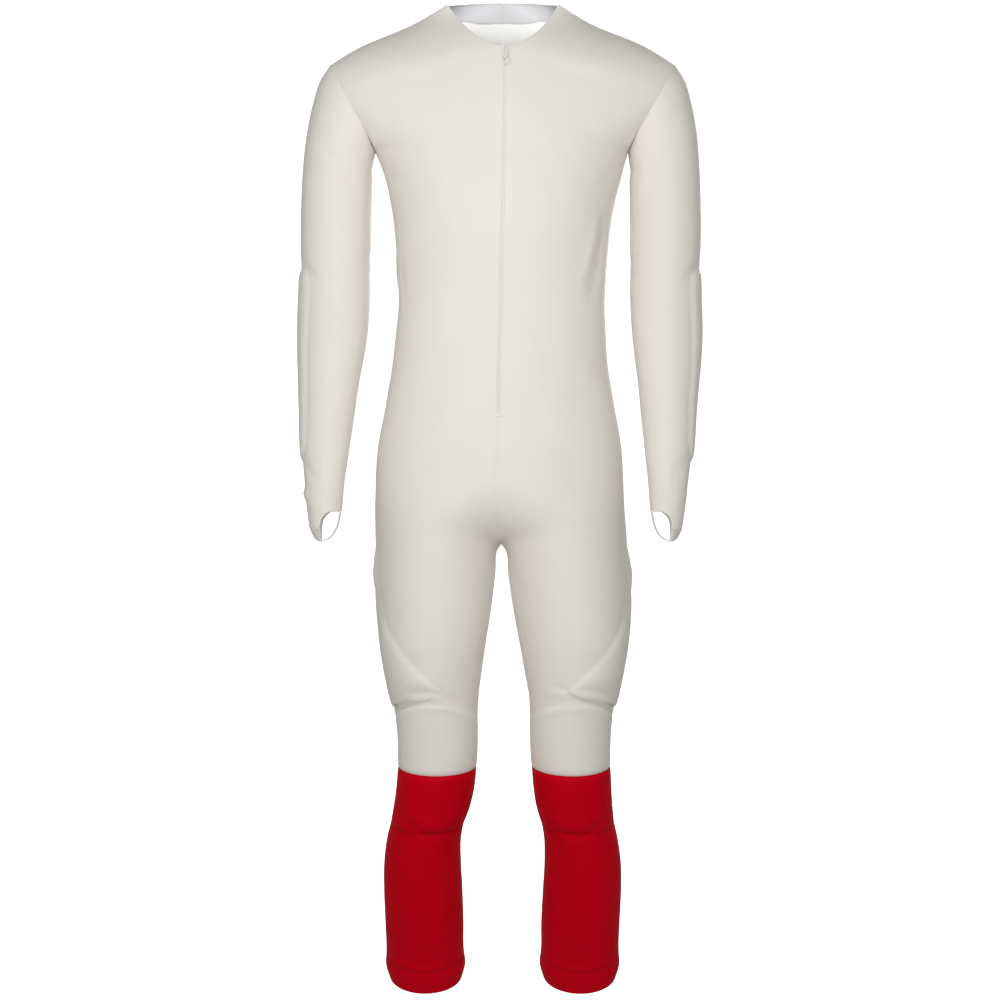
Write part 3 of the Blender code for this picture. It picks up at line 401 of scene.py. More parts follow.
# Creases. On the body a place is x and z as seen from the front or back, on a sleeve it is the angle
# round it from the outer side over the front, and z. Bow bends the crease sideways, and a height under
# zero is a trough.
creaseColumns = ("a0", "z0", "a1", "z1", "bow", "width", "height")
creases = {
    ("front", "right"): (
        (148, -258, 121, -402, 6, 11, -3.2), (136, -262, 106, -380, 5, 9, 2.2),
        (166, -205, 132, -240, -3, 9, -1.2), (206, -140, 176, -186, -3, 6, -1.3),
        (74, -936, 104, -947, -2, 5.5, -3.4), (99, -945, 157, -953, 3, 5.5, -3.0),
        (60, -949, 152, -961, 7, 6, 3.2), (100, -930, 168, -934, 5, 9, 1.8),
        (20, -752, 58, -690, -6, 14, -1.2), (42, -1003, 140, -977, 22, 5, 2.2),
        (4, -762, 12, -955, 0, 34, 5.0), (190, -742, 190, -805, 0, 18, 3.8),
        (64, -1128, 152, -1120, -30, 6, -3.0), (66, -1112, 150, -1104, -28, 9, 2.2),
        (60, -1338, 168, -1338, -15, 4.5, 1.8),
    ),
    ("front", "left"): (
        (-142, -314, -132, -398, -5, 8, -1.2), (-150, -310, -143, -385, -4, 6, 2.0),
        (-166, -205, -136, -236, 3, 8, -1.0), (-206, -138, -178, -184, 3, 6, -1.3),
        (-125, -951, -87, -946, 2, 5.5, -3.4), (-94, -946, -58, -959, -2, 5.5, -3.2),
        (-138, -960, -60, -958, 7, 6, 3.2), (-142, -932, -80, -934, 5, 9, 1.8),
        (-22, -750, -60, -692, -6, 14, -1.0), (-133, -977, -34, -1003, 22, 5, 2.3),
        (-190, -742, -190, -805, 0, 18, 3.6), (-142, -1116, -54, -1138, -26, 6, -3.2),
        (-140, -1100, -58, -1122, -26, 9, 2.2), (-168, -1338, -60, -1338, -15, 4.5, 1.8),
    ),
    ("back", "right"): (
        (4, -762, 12, -955, 0, 34, 5.0), (190, -742, 190, -805, 0, 18, 3.8),
        (60, -1338, 168, -1338, 15, 4.5, 1.8), (30, -300, 128, -330, -8, 14, -2.4),
        (20, -352, 122, -372, -6, 12, -2.0), (18, -330, 120, -350, -6, 11, 1.6),
        (26, -735, 120, -752, -12, 12, -2.6), (44, -780, 112, -790, -8, 10, -1.4),
        (56, -1006, 132, -1002, -4, 7, -2.6), (60, -1032, 126, -1036, -4, 7, -2.2),
        (60, -1019, 130, -1018, -3, 7, 1.6), (140, -190, 96, -262, 8, 14, -2.2),
    ),
    ("back", "left"): (
        (-190, -742, -190, -805, 0, 18, 3.6), (-168, -1338, -60, -1338, 15, 4.5, 1.8),
        (-24, -318, -132, -336, -8, 13, -2.2), (-30, -362, -120, -384, -6, 12, -2.4),
        (-20, -340, -120, -360, -6, 11, 1.4), (-24, -738, -118, -760, -12, 12, -2.4),
        (-54, -1010, -130, -1004, -4, 7, -2.4), (-60, -1034, -128, -1030, -4, 8, -2.6),
        (-60, -1021, -130, -1017, -3, 7, 1.6), (-142, -192, -100, -258, -8, 13, -2.0),
    ),
    ("sleeve", "right"): (
        (135, -196, 232, -206, 4, 9, -1.8), (120, -328, 214, -334, 5, 8, -1.2),
        (130, -352, 200, -350, 4, 8, -1.0), (60, -150, 140, -250, 4, 10, -1.6),
        (132, -142, 178, -184, 3, 6, -1.2), (14, -338, 62, -362, 6, 6, -2.0),
        (28, -612, 92, -640, -5, 8, -1.6),
    ),
    ("sleeve", "left"): (
        (128, -192, 226, -204, 4, 9, -1.8), (124, -322, 218, -330, 5, 8, -1.2),
        (118, -348, 206, -352, 4, 8, -1.1), (55, -160, 138, -246, 4, 10, -1.6),
        (128, -138, 178, -184, 3, 6, -1.2), (12, -332, 66, -366, 6, 6, -2.2),
        (24, -618, 88, -650, -5, 8, -1.8), (-38, -664, 42, -667, 0, 6.5, 3.0),
    ),
}


def creaseLift(data, places, row, around):
    # depth times a bell curve of the distance to the crease's line, fading to nothing at both ends
    t = np.linspace(0, 1, 33)
    bend = 4 * t * (1 - t) * row["bow"]
    alongA, alongZ = row["a1"] - row["a0"], row["z1"] - row["z0"]
    reach = math.hypot(alongA, alongZ)
    a = row["a0"] + alongA * t - bend * alongZ / reach
    z = row["z0"] + alongZ * t + bend * alongA / reach
    flat = places.reshape(-1, 2)
    across = flat[:, :1] - a
    if around:  # the shorter way round
        across = (across + 180) % 360 - 180
    near = np.argmin(across ** 2 + (flat[:, 1:] - z) ** 2, axis=0)
    line = data[..., :3].reshape(-1, 3)[near]
    for _ in range(4):  # evens out the steps between grid points
        line[1:-1] = (line[:-2] + 2 * line[1:-1] + line[2:]) / 4
    points = data[..., :3].reshape(-1, 3)
    low, high = line.min(axis=0) - 3 * row["width"], line.max(axis=0) + 3 * row["width"]
    close = np.all((points > low) & (points < high), axis=1)
    apart = np.linalg.norm(points[close, None] - line, axis=-1)
    nearest = np.argmin(apart, axis=1)
    bell = np.exp(-(apart.min(axis=1) / row["width"]) ** 2)
    lift = np.zeros(len(points))
    lift[close] = row["height"] * bell * np.sin(math.pi * t[nearest]) ** 0.8
    return lift.reshape(data.shape[:2])


waveHeight = 0.22
for side, own in halves.items():
    for part, made in own.items():
        if part == "loop":
            continue
        data = made["data"]
        x, y, z = np.moveaxis(data[..., :3], -1, 0)
        if part == "sleeve":
            x = np.broadcast_to(np.linspace(0, 360, data.shape[1], endpoint=False), data.shape[:2])
        for crease in creases[part, side]:
            row = dict(zip(creaseColumns, crease))
            data[..., 8] += creaseLift(data, np.stack([x, z], axis=-1), row, part == "sleeve")
        # wide shallow waves, so that no panel is quite even
        x = data[..., 0]
        data[..., 8] += waveHeight * (np.sin(x / 23 + z / 41 + y / 31) + np.sin(z / 27 - x / 37 + 1.3)
                                      + np.sin(y / 21 + z / 63 + 0.4))
print("creases placed:", sum(len(rows) for rows in creases.values()))


def hexColour(code):
    # an sRGB hex colour as linear red, green, blue and alpha
    parts = [int(code[i:i + 2], 16) / 255 for i in (0, 2, 4)]
    return tuple(c / 12.92 if c <= 0.04045 else ((c + 0.055) / 1.055) ** 2.4 for c in parts) + (1.0,)


def addNode(tree, kind, links=None, **settings):
    # one node with its settings, its inputs' values and the sockets linked into them
    made = tree.nodes.new(kind)
    for key, value in settings.items():
        setattr(made, key, value)
    for key, value in (links or {}).items():
        if isinstance(value, bpy.types.NodeSocket):
            tree.links.new(value, made.inputs[key])
        else:
            made.inputs[key].default_value = value
    return made


def newMaterial(name, sockets):
    made = bpy.data.materials.new(name)
    made.use_nodes = True
    shader = made.node_tree.nodes["Principled BSDF"]
    for key, value in sockets.items():
        shader.inputs[key].default_value = value
    return made, made.node_tree, shader


def mottled(tree, shader, factor, codes):
    # the base colour drifts between two close colours
    tint = addNode(tree, "ShaderNodeMix", {"Factor": factor.outputs["Fac"]}, data_type="RGBA")
    for key, code in zip("AB", codes):
        tint.inputs[key].default_value = hexColour(code)
    tree.links.new(tint.outputs["Result"], shader.inputs["Base Color"])


def bumped(tree, shader, height, strength, distance):
    bump = addNode(tree, "ShaderNodeBump",
                   {"Height": height, "Strength": strength, "Distance": distance * mm})
    tree.links.new(bump.outputs["Normal"], shader.inputs["Normal"])


waveUnit = 2 * math.pi / 20  # the Wave texture's own length of one band at scale 1


def knitCloth(name, colours, sheen, rough, gloss, wale, relief):
    # warp-knit polyamide and elastane with a calendered face: fine upright wales and a satin glow
    made, tree, shader = newMaterial(name, {
        "Roughness": rough, "Sheen Weight": sheen, "Sheen Roughness": 0.35,
        "Sheen Tint": hexColour(colours[1]), "Specular IOR Level": gloss})
    place = addNode(tree, "ShaderNodeUVMap", uv_map="lengths").outputs["UV"]
    wales = addNode(tree, "ShaderNodeTexWave", {
        "Vector": place, "Scale": waveUnit / (wale * mm), "Distortion": 0.6, "Detail": 1.0},
        bands_direction="X")
    courses = addNode(tree, "ShaderNodeTexWave", {
        "Vector": place, "Scale": waveUnit / (wale * 0.8 * mm), "Distortion": 0.4}, bands_direction="Y")
    loops = addNode(tree, "ShaderNodeMath", {0: wales.outputs["Fac"], 1: courses.outputs["Fac"]},
                    operation="MULTIPLY")
    cloud = addNode(tree, "ShaderNodeTexNoise", {"Vector": place, "Scale": 14.0, "Detail": 3.0})
    mottled(tree, shader, cloud, colours)
    bumped(tree, shader, loops.outputs[0], 0.5, relief)
    return made


finishes = {
    "white_knit": knitCloth("off-white warp knit, satin", ("ECE8E2", "F2EEE9"), 0.14, 0.5, 0.22, 1.0, 0.10),
    "red_knit": knitCloth("red warp knit, satin", ("C60015", "D4001B"), 0.0, 0.55, 0.03, 1.0, 0.10),
    "facing": knitCloth("white smooth facing, matt", ("CBCBCE", "D0D0D3"), 0.05, 0.7, 0.22, 0.8, 0.05),
    # inside: the white knit again, rough like a brushed back and painted lighter, as painted light for the
    # shaded inside of the neck
    "inside": knitCloth("white back of the knit, brushed and painted lighter", ("F8F7F4", "FCFBF9"), 0.05, 0.8, 0.15, 1.0, 0.10),
    "zip_tape": knitCloth("off-white woven zip tape", ("EFECE7", "F6F4F0"), 0.05, 0.6, 0.22, 0.7, 0.08),
}


def paintedZinc():
    # die-cast zinc, sprayed off-white: smooth with a faint orange peel
    made, tree, shader = newMaterial("off-white sprayed zinc", {
        "Roughness": 0.34, "Base Color": hexColour("EDEBE6"), "Coat Weight": 0.25, "Coat Roughness": 0.2})
    place = addNode(tree, "ShaderNodeTexCoord").outputs["Object"]
    peel = addNode(tree, "ShaderNodeTexNoise", {"Vector": place, "Scale": 1 / (0.7 * mm), "Detail": 1.0})
    bumped(tree, shader, peel.outputs["Fac"], 0.15, 0.03)
    return made


def sewingThread(name, colours):
    # textured polyester thread: matt, with a twist too fine to draw
    made, tree, shader = newMaterial(name, {"Roughness": 0.7, "Specular IOR Level": 0.08})
    place = addNode(tree, "ShaderNodeTexCoord").outputs["Object"]
    fibres = addNode(tree, "ShaderNodeTexNoise", {"Vector": place, "Scale": 1 / (1.2 * mm)})
    mottled(tree, shader, fibres, colours)
    return made


finishes["zip_plastic"] = paintedZinc()
threads = {"white_knit": sewingThread("off-white thread", ("EAE6E0", "F2EFEA")),
           "red_knit": sewingThread("red thread", ("B4000E", "C60016"))}
print("finishes made:", len(finishes) + len(threads))


def placed(name, data):
    made = bpy.data.objects.new(name, data)
    bpy.context.scene.collection.objects.link(made)
    return made


def addObject(name, points, faces, finish, lengths=None, body="suit", slot=None, replaces=()):
    # one mesh object from points in millimetres; each face's corners take the lengths of their points
    mesh = bpy.data.meshes.new(name)
    mesh.from_pydata((points * mm).tolist(), [], faces.tolist())
    if lengths is not None:
        layer = mesh.uv_layers.new(name="lengths")
        layer.data.foreach_set("uv", lengths[faces.ravel()].astype(np.float32).ravel())
    mesh.shade_smooth()
    mesh.set_sharp_from_angle(angle=math.radians(50))
    made = placed(name, mesh)
    mesh.materials.append(finish)
    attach(made, body)
    if replaces:
        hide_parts(*replaces)
    return made


def gridFaces(rows, columns, closed, flip):
    # the four corners of every cell of a grid
    j, i = np.meshgrid(np.arange(rows - 1), np.arange(columns - (not closed)), indexing="ij")
    k = (i + 1) % columns
    quads = np.stack([j * columns + i, (j + 1) * columns + i, (j + 1) * columns + k, j * columns + k], -1)
    quads = quads.reshape(-1, 4)
    return quads[:, ::-1] if flip else quads


def rimFaces(rows, columns, closed, flip):
    # four-cornered faces between the borders of two grids that hold the same number of points
    at = np.arange(rows * columns).reshape(rows, columns)
    if closed:
        loops = [np.stack([np.roll(at[0], -1), at[0]], -1), np.stack([at[-1], np.roll(at[-1], -1)], -1)]
        pairs = np.concatenate(loops)
    else:
        loop = np.concatenate([at[:-1, 0], at[-1, :-1], at[:0:-1, -1], at[0, :0:-1]])
        pairs = np.stack([loop, np.roll(loop, -1)], -1)
    if flip:
        pairs = pairs[:, ::-1]
    count = rows * columns
    return np.stack([pairs[:, 1], pairs[:, 0], pairs[:, 0] + count, pairs[:, 1] + count], -1)


def slab(name, outer, inner, lengths, closed, flip, finish, **ties):
    # a closed skin: the outer grid, the inner grid turned over, and a rim between their borders; the
    # white cloth's inner grid takes its rough brushed back, painted lighter than the face as painted light
    # for the shaded inside of the neck
    rows, columns = outer.shape[:2]
    count = rows * columns
    faces = np.concatenate([gridFaces(rows, columns, closed, flip),
                            gridFaces(rows, columns, closed, not flip) + count,
                            rimFaces(rows, columns, closed, flip)])
    points = np.concatenate([outer.reshape(-1, 3), inner.reshape(-1, 3)])
    both = np.concatenate([lengths.reshape(-1, 2)] * 2)
    made = addObject(name, points, faces, finish, both, **ties)
    # painted light: the inner faces of the white panels take the lighter inside finish
    if finish is finishes["white_knit"]:
        made.data.materials.append(finishes["inside"])
        cells = (rows - 1) * (columns - (not closed))
        which = np.zeros(len(faces), np.int32)
        which[cells:2 * cells] = 1
        made.data.polygons.foreach_set("material_index", which)
    return made


def edged(data, sunk, axis, atEnd, first, share=1.0):
    # the border line gives way to lines at the roll's distances from it, on the sides of its cells;
    # share weakens the roll
    order = np.moveaxis(data, axis, 0)
    sink = np.moveaxis(sunk, axis, 0)
    if atEnd:
        order, sink = order[::-1], sink[::-1]
    line, beside = order[0], order[1]
    reach = np.linalg.norm(beside[:, :3] - line[:, :3], axis=-1)
    first = np.broadcast_to(np.asarray(first, float), reach.shape)
    distances = np.array([first + row[0] for row in edgeRoll])
    along = distances / np.maximum(reach, distances[-1] / 0.9)
    lines = line + (beside - line) * along[..., None]
    sinks = np.maximum(np.array([[row[1]] for row in edgeRoll]) * share, sink[:1])
    order, sink = np.concatenate([lines, order[1:]]), np.concatenate([sinks, sink[1:]])
    if atEnd:
        order, sink = order[::-1], sink[::-1]
    return np.moveaxis(order, 0, axis), np.moveaxis(sink, 0, axis)


def nodeOf(name):
    # kneeWhiteRight stands for the solid knee_white_right
    return "".join("_" + letter.lower() if letter.isupper() else letter for letter in name)


def panel(name, made, rows, edges, finish, lift=0.0, wall=cut["wall"], padded=None):
    # a thin shell cut from a bulk grid, sunk at its seams, lifted by its creases and by its padding
    data = made["data"][rows[0]:rows[1] + 1].copy()
    data[..., 8] += lift
    sunk = np.zeros(data.shape[:2])
    for edge, (axis, atEnd) in {"inner": (1, False), "outer": (1, True), "top": (0, False),
                                "bottom": (0, True)}.items():
        if edge in edges:
            first = edges[edge] if isinstance(edges[edge], tuple) else (edges[edge],)
            data, sunk = edged(data, sunk, axis, atEnd, *first)
    normals = unit(data[..., 3:6])
    outer = data[..., :3] + normals * (data[..., 8:9] - sunk[..., None])
    inner = outer - normals * wall
    piece = slab(name, outer, inner, data[..., 6:8], made["closed"], made["flip"], finishes[finish],
                 slot=finish, replaces=[nodeOf(name)])


def joinedRing(front, back, rows):
    # the front's columns and then the back's turned round, as one closed ring
    first, last = rows
    data = np.concatenate([front["data"][first:last + 1], back["data"][first:last + 1, -2:0:-1]], axis=1)
    data[..., 6:8] = lengthsOver(data[..., :3], True)
    return {"data": data, "closed": True, "flip": front["flip"]}


kneeFoam = {"raise": 3.2, "slope": 11.0, "fill": 0.5}

# The zip: two woven tapes whose folded edges meet in the middle, with the coil in two rows behind them.
# A tape's section runs outwards from the middle, as distance from it and depth under the cloth's face.
zipSizes = {"pitch": 1.27, "toothHalf": (0.8, 0.42, 0.5), "toothAside": 0.62, "tapeWall": 0.5,
            "coilDepth": 1.7, "rollShare": 0.35,
            "section": ((0.42, 1.5), (0.48, 0.7), (0.7, 0.42), (1.1, 0.3), (1.6, 0.3), (1.74, 0.5),
                        (1.78, 2.3), (2.4, 2.45), (10.5, 2.45))}


def kneeLift(made, rows):
    # the foam's height: full in the middle, and rounded down to the seams at the sides, top and bottom
    data = made["data"][rows[0]:rows[1] + 1]
    across = np.cos(np.linspace(-math.pi / 2, math.pi / 2, data.shape[1])) ** 0.5
    down = np.linalg.norm(np.diff(data[..., :3], axis=0, prepend=data[:1, :, :3]), axis=-1).cumsum(axis=0)
    fromEdge = np.minimum(down, down[-1] - down)
    share = np.clip(fromEdge / kneeFoam["slope"], 0, 1)
    return kneeFoam["raise"] * np.maximum(across, 0) * np.sqrt(share * (2 - share))


facing = {"depth": 30.0, "cells": 16, "wall": 1.0, "thinEdge": 0.45, "gap": 0.15}
facingEdges = {"right": [], "left": []}


def facingStrip(part, side, made, corner, clear):
    # every point of the neckline moves into the panel, square to the neckline, by even steps, is set
    # back onto the panel's surface, and then lies under the panel's inner face
    name, data = "neckFacing" + part + side.capitalize(), made["data"]
    edge = data[:corner + 1, 0]
    inward = unit(np.cross(np.gradient(edge[:, :3], axis=0), edge[:, 3:6]))
    half = corner // 2
    inward *= np.sign(inward[half] @ (data[half, 2, :3] - edge[half, :3]))
    inward[:, 0] *= np.clip(np.abs(edge[:, 0] - edge[-1, 0]) / 20.0, 0, 1)
    inward = unit(inward)
    steps = np.linspace(0, facing["depth"], facing["cells"] + 1)
    strip = edge[:, None, :3] + inward[:, None] * steps[:, None]
    near = data[:2 * corner, :cut["columns"] * 2 // 3].reshape(-1, data.shape[-1])
    foot = near[((strip[..., None, :] - near[:, :3]) ** 2).sum(-1).argmin(-1)]
    strip = strip - foot[..., 3:6] * ((strip - foot[..., :3]) * foot[..., 3:6]).sum(-1, keepdims=True)
    middle = lookUp(bodySway, strip[..., 2]) + lookUp(frontLean, strip[..., 2]) * (part == "Front")
    sign = 1 if side == "right" else -1
    strip[..., 0] = sign * np.maximum(sign * (strip[..., 0] - middle), clear) + middle
    normals = normalsOf(strip, False, made["flip"])
    facingEdges[side].append((strip[:, -1] + normals[:, -1] * 0.1, strip[:, -2], normals[:, -1]))
    rolls = np.interp(steps, *np.array(edgeRoll).T)
    outer = strip - normals * (cut["wall"] + facing["gap"] + rolls)[:, None]
    walls = np.full(len(steps), facing["wall"])
    walls[-1] = facing["thinEdge"]
    piece = slab(name, outer, outer - normals * walls[:, None], lengthsOver(strip, False), False,
                 made["flip"], finishes["facing"], slot="facing", replaces=[nodeOf(name)])


halfGap = cut["seamGap"] / 2
besideZip = cut["zipHalfWidth"] + cut["seamGap"]
for side, own in halves.items():
    front, back, sleeve, loop = (own[key] for key in ("front", "back", "sleeve", "loop"))
    kneeTop, change, padEnd, bandTop, hem, zipEnd = (
        seamRow(front, name) for name in ("kneeTop", "colourChange", "padEnd", "bandTop", "hem", "zipEnd"))
    frontCorner, backCorner = yokeIndex(front, cut["frontNeckRows"]), yokeIndex(back, cut["backNeckRows"])
    frontInner, backInner = np.full(kneeTop + 1, halfGap), np.full(change + 1, halfGap)
    frontInner[:frontCorner] = backInner[:backCorner] = 0
    frontInner[frontCorner:zipEnd + 1] = besideZip
    zipRoll = np.where(frontInner == besideZip, zipSizes["rollShare"], 1.0)
    band = joinedRing(front, back, (bandTop, hem))
    ends = {"top": halfGap, "bottom": halfGap}
    sewn = dict(ends, inner=halfGap, outer=halfGap)
    for name, made, rows, edges, finish, more in (
            ("front", front, (0, kneeTop), dict(sewn, inner=(frontInner, zipRoll)), "white_knit", {}),
            ("back", back, (0, change), dict(sewn, inner=(backInner,)), "white_knit", {}),
            ("kneeWhite", front, (kneeTop, change), sewn, "white_knit", {"padded": kneeFoam["fill"]}),
            ("kneeRed", front, (change, padEnd), sewn, "red_knit", {"padded": kneeFoam["fill"]}),
            ("shin", front, (padEnd, bandTop), sewn, "red_knit", {}),
            ("calf", back, (change, bandTop), sewn, "red_knit", {}),
            ("hemBand", band, (0, hem - bandTop), dict(ends, bottom=0), "red_knit", {"wall": cut["hemWall"]}),
            ("sleeve", sleeve, (0, len(sleeve["data"]) - 1), ends, "white_knit", {}),
            ("handLoop", loop, (0, len(loop["data"]) - 1), dict(ends, inner=0, outer=0), "white_knit", {})):
        if "padded" in more:
            more["lift"] = kneeLift(made, rows)
        panel(name + side.capitalize(), made, rows, edges, finish, **more)
    facingStrip("Front", side, front, frontCorner, besideZip)
    facingStrip("Back", side, back, backCorner, halfGap)
print("panels made")


# Pads: outlines in x and z on the thigh, and in y and z on the forearm.
pads = {
    "thighOutline": ((200, -741), (184, -743), (178, -800), (171, -838), (160, -866), (135, -900),
                     (110, -925), (86, -941), (90, -950), (120, -963), (165, -979), (200, -979)),
    "forearmOutline": ((-4, -338), (-24, -346), (-31, -366), (-36, -420), (-51, -580), (-49, -606),
                       (-36, -622), (-12, -621), (0, -600), (46, -400), (50, -362), (40, -342)),
    "rim": 0.12,  # height at the outline itself
    "edge": 2.0,  # height where the foam's bevelled edge ends
    "bevel": 9.0,  # width of that bevel
    "crown": 2.7,  # how much higher the middle is
    "slope": 30.0,  # over how much of its width it rises
    "gap": 0.1,
    "fill": 0.5,
    "cells": 48,  # grid cells across a pad
}


def rounded(outline, rounds=2):
    # cuts every corner at a quarter of its two sides
    points = np.array(outline, float)
    for _ in range(rounds):
        ahead = np.roll(points, -1, axis=0)
        points = np.stack([0.75 * points + 0.25 * ahead, 0.25 * points + 0.75 * ahead], axis=1).reshape(-1, 2)
    return points


def insideBy(outline, a, b):
    # distance to the outline's nearest side, with a minus sign outside it
    start, end = outline, np.roll(outline, -1, axis=0)
    p = np.stack([a, b], axis=-1)[..., None, :]
    along = end - start
    share = np.clip(((p - start) * along).sum(-1) / np.maximum((along ** 2).sum(-1), 1e-9), 0, 1)
    apart = np.linalg.norm(p - start - along * share[..., None], axis=-1).min(axis=-1)
    above = (start[:, 1] > p[..., 1]) != (end[:, 1] > p[..., 1])
    rise = np.where(along[:, 1] == 0, 1e-9, along[:, 1])
    crosses = above & (p[..., 0] < start[:, 0] + (p[..., 1] - start[:, 1]) * along[:, 0] / rise)
    return np.where(crosses.sum(axis=-1) % 2 == 1, apart, -apart)


def padPatch(name, data, flip, outline, axis):
    # each row of the panel runs from where it enters the outline to where it leaves it, and is lifted
    # by the pad's height there: a smooth step over the bevel, and a crown that rises to the middle
    depth = insideBy(outline, data[..., axis], data[..., 2])
    within = depth > 0
    kept = np.flatnonzero(within.sum(axis=1) > 1)
    data, depth, within = data[kept], depth[kept], within[kept]
    row = np.arange(len(data))
    enter = np.argmax(within, axis=1)
    leave = within.shape[1] - 1 - np.argmax(within[:, ::-1], axis=1)
    before, after = depth[row, enter - 1], depth[row, np.minimum(leave + 1, depth.shape[1] - 1)]
    first = enter - depth[row, enter] / np.maximum(depth[row, enter] - before, 1e-6)
    last = leave + depth[row, leave] / np.maximum(depth[row, leave] - after, 1e-6)
    turn = (1 - np.cos(np.linspace(0, math.pi, pads["cells"] + 1))) / 2
    column = np.clip(first[:, None] + (last - first)[:, None] * turn, 0, data.shape[1] - 1.001)
    low = column.astype(int)
    part = (column - low)[..., None]
    patch = data[row[:, None], low] * (1 - part) + data[row[:, None], low + 1] * part
    normals = unit(patch[..., 3:6])
    inset = np.maximum(insideBy(outline, patch[..., axis], patch[..., 2]), 0)
    edge = np.clip(inset / pads["bevel"], 0, 1)
    share = np.clip(inset / pads["slope"], 0, 1)
    height = (pads["rim"] + (pads["edge"] - pads["rim"]) * edge * edge * (3 - 2 * edge)
              + pads["crown"] * share * (2 - share))
    base = patch[..., :3] + normals * (patch[..., 8:9] + pads["gap"])
    piece = slab(name, base + normals * height[..., None], base, patch[..., 6:8], False, flip,
                 finishes["white_knit"], slot="white_knit", replaces=[nodeOf(name)])


for side, own in halves.items():
    sign = 1 if side == "right" else -1
    front, back = own["front"], own["back"]
    ring = joinedRing(front, back, (seamRow(front, "crotch"), seamRow(front, "kneeTop")))
    perCell = cut["columns"] // 10
    around = ring["data"][:, 3 * perCell:18 * perCell]
    outline = rounded(pads["thighOutline"]) * np.array([sign, 1])
    outline[:, 0] += lookUp(bodySway, outline[:, 1])
    padPatch("thighPad" + side.capitalize(), around, ring["flip"], outline, 0)
    quarter = cut["sleeveColumns"] // 4
    outerSide = np.roll(own["sleeve"]["data"], quarter, axis=1)[:, :2 * quarter + 1]
    padPatch("forearmPad" + side.capitalize(), outerSide, own["sleeve"]["flip"],
             rounded(pads["forearmOutline"]), 1)
print("pads made")


def alongLine(line, normals, spacing):
    # places, directions and normals at even distances along a line of points
    steps = np.linalg.norm(np.diff(line, axis=0), axis=1)
    at = np.concatenate([[0], np.cumsum(steps)])
    count = max(2, int(at[-1] / spacing))
    where = (np.arange(count) + 0.5) * at[-1] / count
    places = np.stack([np.interp(where, at, line[:, k]) for k in range(3)], axis=-1)
    ways = unit(np.gradient(places, axis=0))
    faced = unit(np.stack([np.interp(where, at, normals[:, k]) for k in range(3)], axis=-1))
    faced = unit(faced - ways * (faced * ways).sum(-1, keepdims=True))
    return places, ways, faced


def repeated(template, faces, places, ways, across, faced):
    # the template's points laid along each place's own three directions
    frames = np.stack([ways, across, faced], axis=1)
    points = places[:, None] + template @ frames
    every = faces[None] + (np.arange(len(places)) * len(template))[:, None, None]
    return points.reshape(-1, 3), every.reshape(-1, faces.shape[1])


def bead(halfLength, halfWidth, halfHeight):
    # a rounded block: two small end squares and two larger middle ones
    rings = ((-1, 0.55), (-0.7, 1), (0.7, 1), (1, 0.55))
    corners = np.array([(-1, -1), (1, -1), (1, 1), (-1, 1)])
    points = np.array([(x * halfLength, s * a * halfWidth, s * b * halfHeight)
                       for x, s in rings for a, b in corners])
    sides = [(r * 4 + k, r * 4 + (k + 1) % 4, r * 4 + 4 + (k + 1) % 4, r * 4 + 4 + k)
             for r in range(3) for k in range(4)]
    return points, np.array(sides + [(3, 2, 1, 0), (12, 13, 14, 15)])


front = halves["right"]["front"]
corner, zipEnd = yokeIndex(front, cut["frontNeckRows"]), seamRow(front, "zipEnd")
centre = front["data"][corner:zipEnd + 2, 0]
zipLine, zipNormals = centre[:, :3], unit(centre[:, 3:6] * np.array([0, 1, 1]))
apart, depth = np.array(zipSizes["section"]).T
for side, sign in (("Right", 1), ("Left", -1)):
    tapeBase = (zipLine[:, None] - zipNormals[:, None] * depth[:, None]
                + (sign * apart)[:, None] * np.array([1.0, 0, 0]))
    under = tapeBase - zipNormals[:, None] * zipSizes["tapeWall"]
    under[:, :, 0] -= sign * np.where((depth > 1) & (apart < 2), zipSizes["tapeWall"], 0)
    tape = slab("zipTape" + side, tapeBase, under, lengthsOver(tapeBase, False), False, sign < 0,
                finishes["zip_tape"], slot="zip_tape")
places, ways, faced = alongLine(zipLine, zipNormals, zipSizes["pitch"] / 2)
across = unit(np.cross(faced, ways))
turnedBy = np.where(np.arange(len(places)) % 2 == 0, 1.0, -1.0)[:, None]
long, wide, high = zipSizes["toothHalf"]
template, faces = bead(long, wide, high)
toothPlaces = (places + across * zipSizes["toothAside"] * turnedBy
               - faced * (high + zipSizes["coilDepth"]))
points, faces = repeated(template, faces, toothPlaces, across * turnedBy, ways * turnedBy, faced)
addObject("zipCoil", points, faces, finishes["zip_plastic"], slot="zip_plastic", replaces=["zip_chain"])
print("zip made:", len(places), "teeth")


def smoothCopy(name, node, bevel, body):
    # a copy of the hard piece with its points merged and its edges rounded
    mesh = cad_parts[node].data.copy()
    shape = bmesh.new()
    shape.from_mesh(mesh)
    bmesh.ops.remove_doubles(shape, verts=shape.verts[:], dist=1e-6)
    bmesh.ops.dissolve_limit(shape, angle_limit=math.radians(1), verts=shape.verts[:], edges=shape.edges[:])
    shape.to_mesh(mesh)
    shape.free()
    mesh.name = name
    mesh.materials.clear()
    mesh.materials.append(finishes["zip_plastic"])
    mesh.shade_smooth()
    mesh.set_sharp_from_angle(angle=math.radians(35))
    made = placed(name, mesh)
    rounding = made.modifiers.new("rounding", "BEVEL")
    rounding.width = bevel * mm
    rounding.segments = 2
    rounding.limit_method = "ANGLE"
    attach(made, body)
    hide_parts(node)


for name, bevel, body in (("zipSlider", 0.35, "suit"), ("pullTab", 0.25, "pull_tab"),
                          ("zipStop", 0.15, "suit")):
    smoothCopy(name, nodeOf(name), bevel, body)


# Sewing: short beads of thread beside the seams, laid on the panels.
sewing = {"length": 1.25, "width": 0.22, "height": 0.2, "pitch": 3.1, "offset": 2.3,
          "coverHalf": 1.15, "coverHeight": 0.42, "coverSink": 0.34, "apart": 1.6, "lift": 0.05,
          "tack": (4.0, 0.6, 0.35), "tackZ": -563.5}


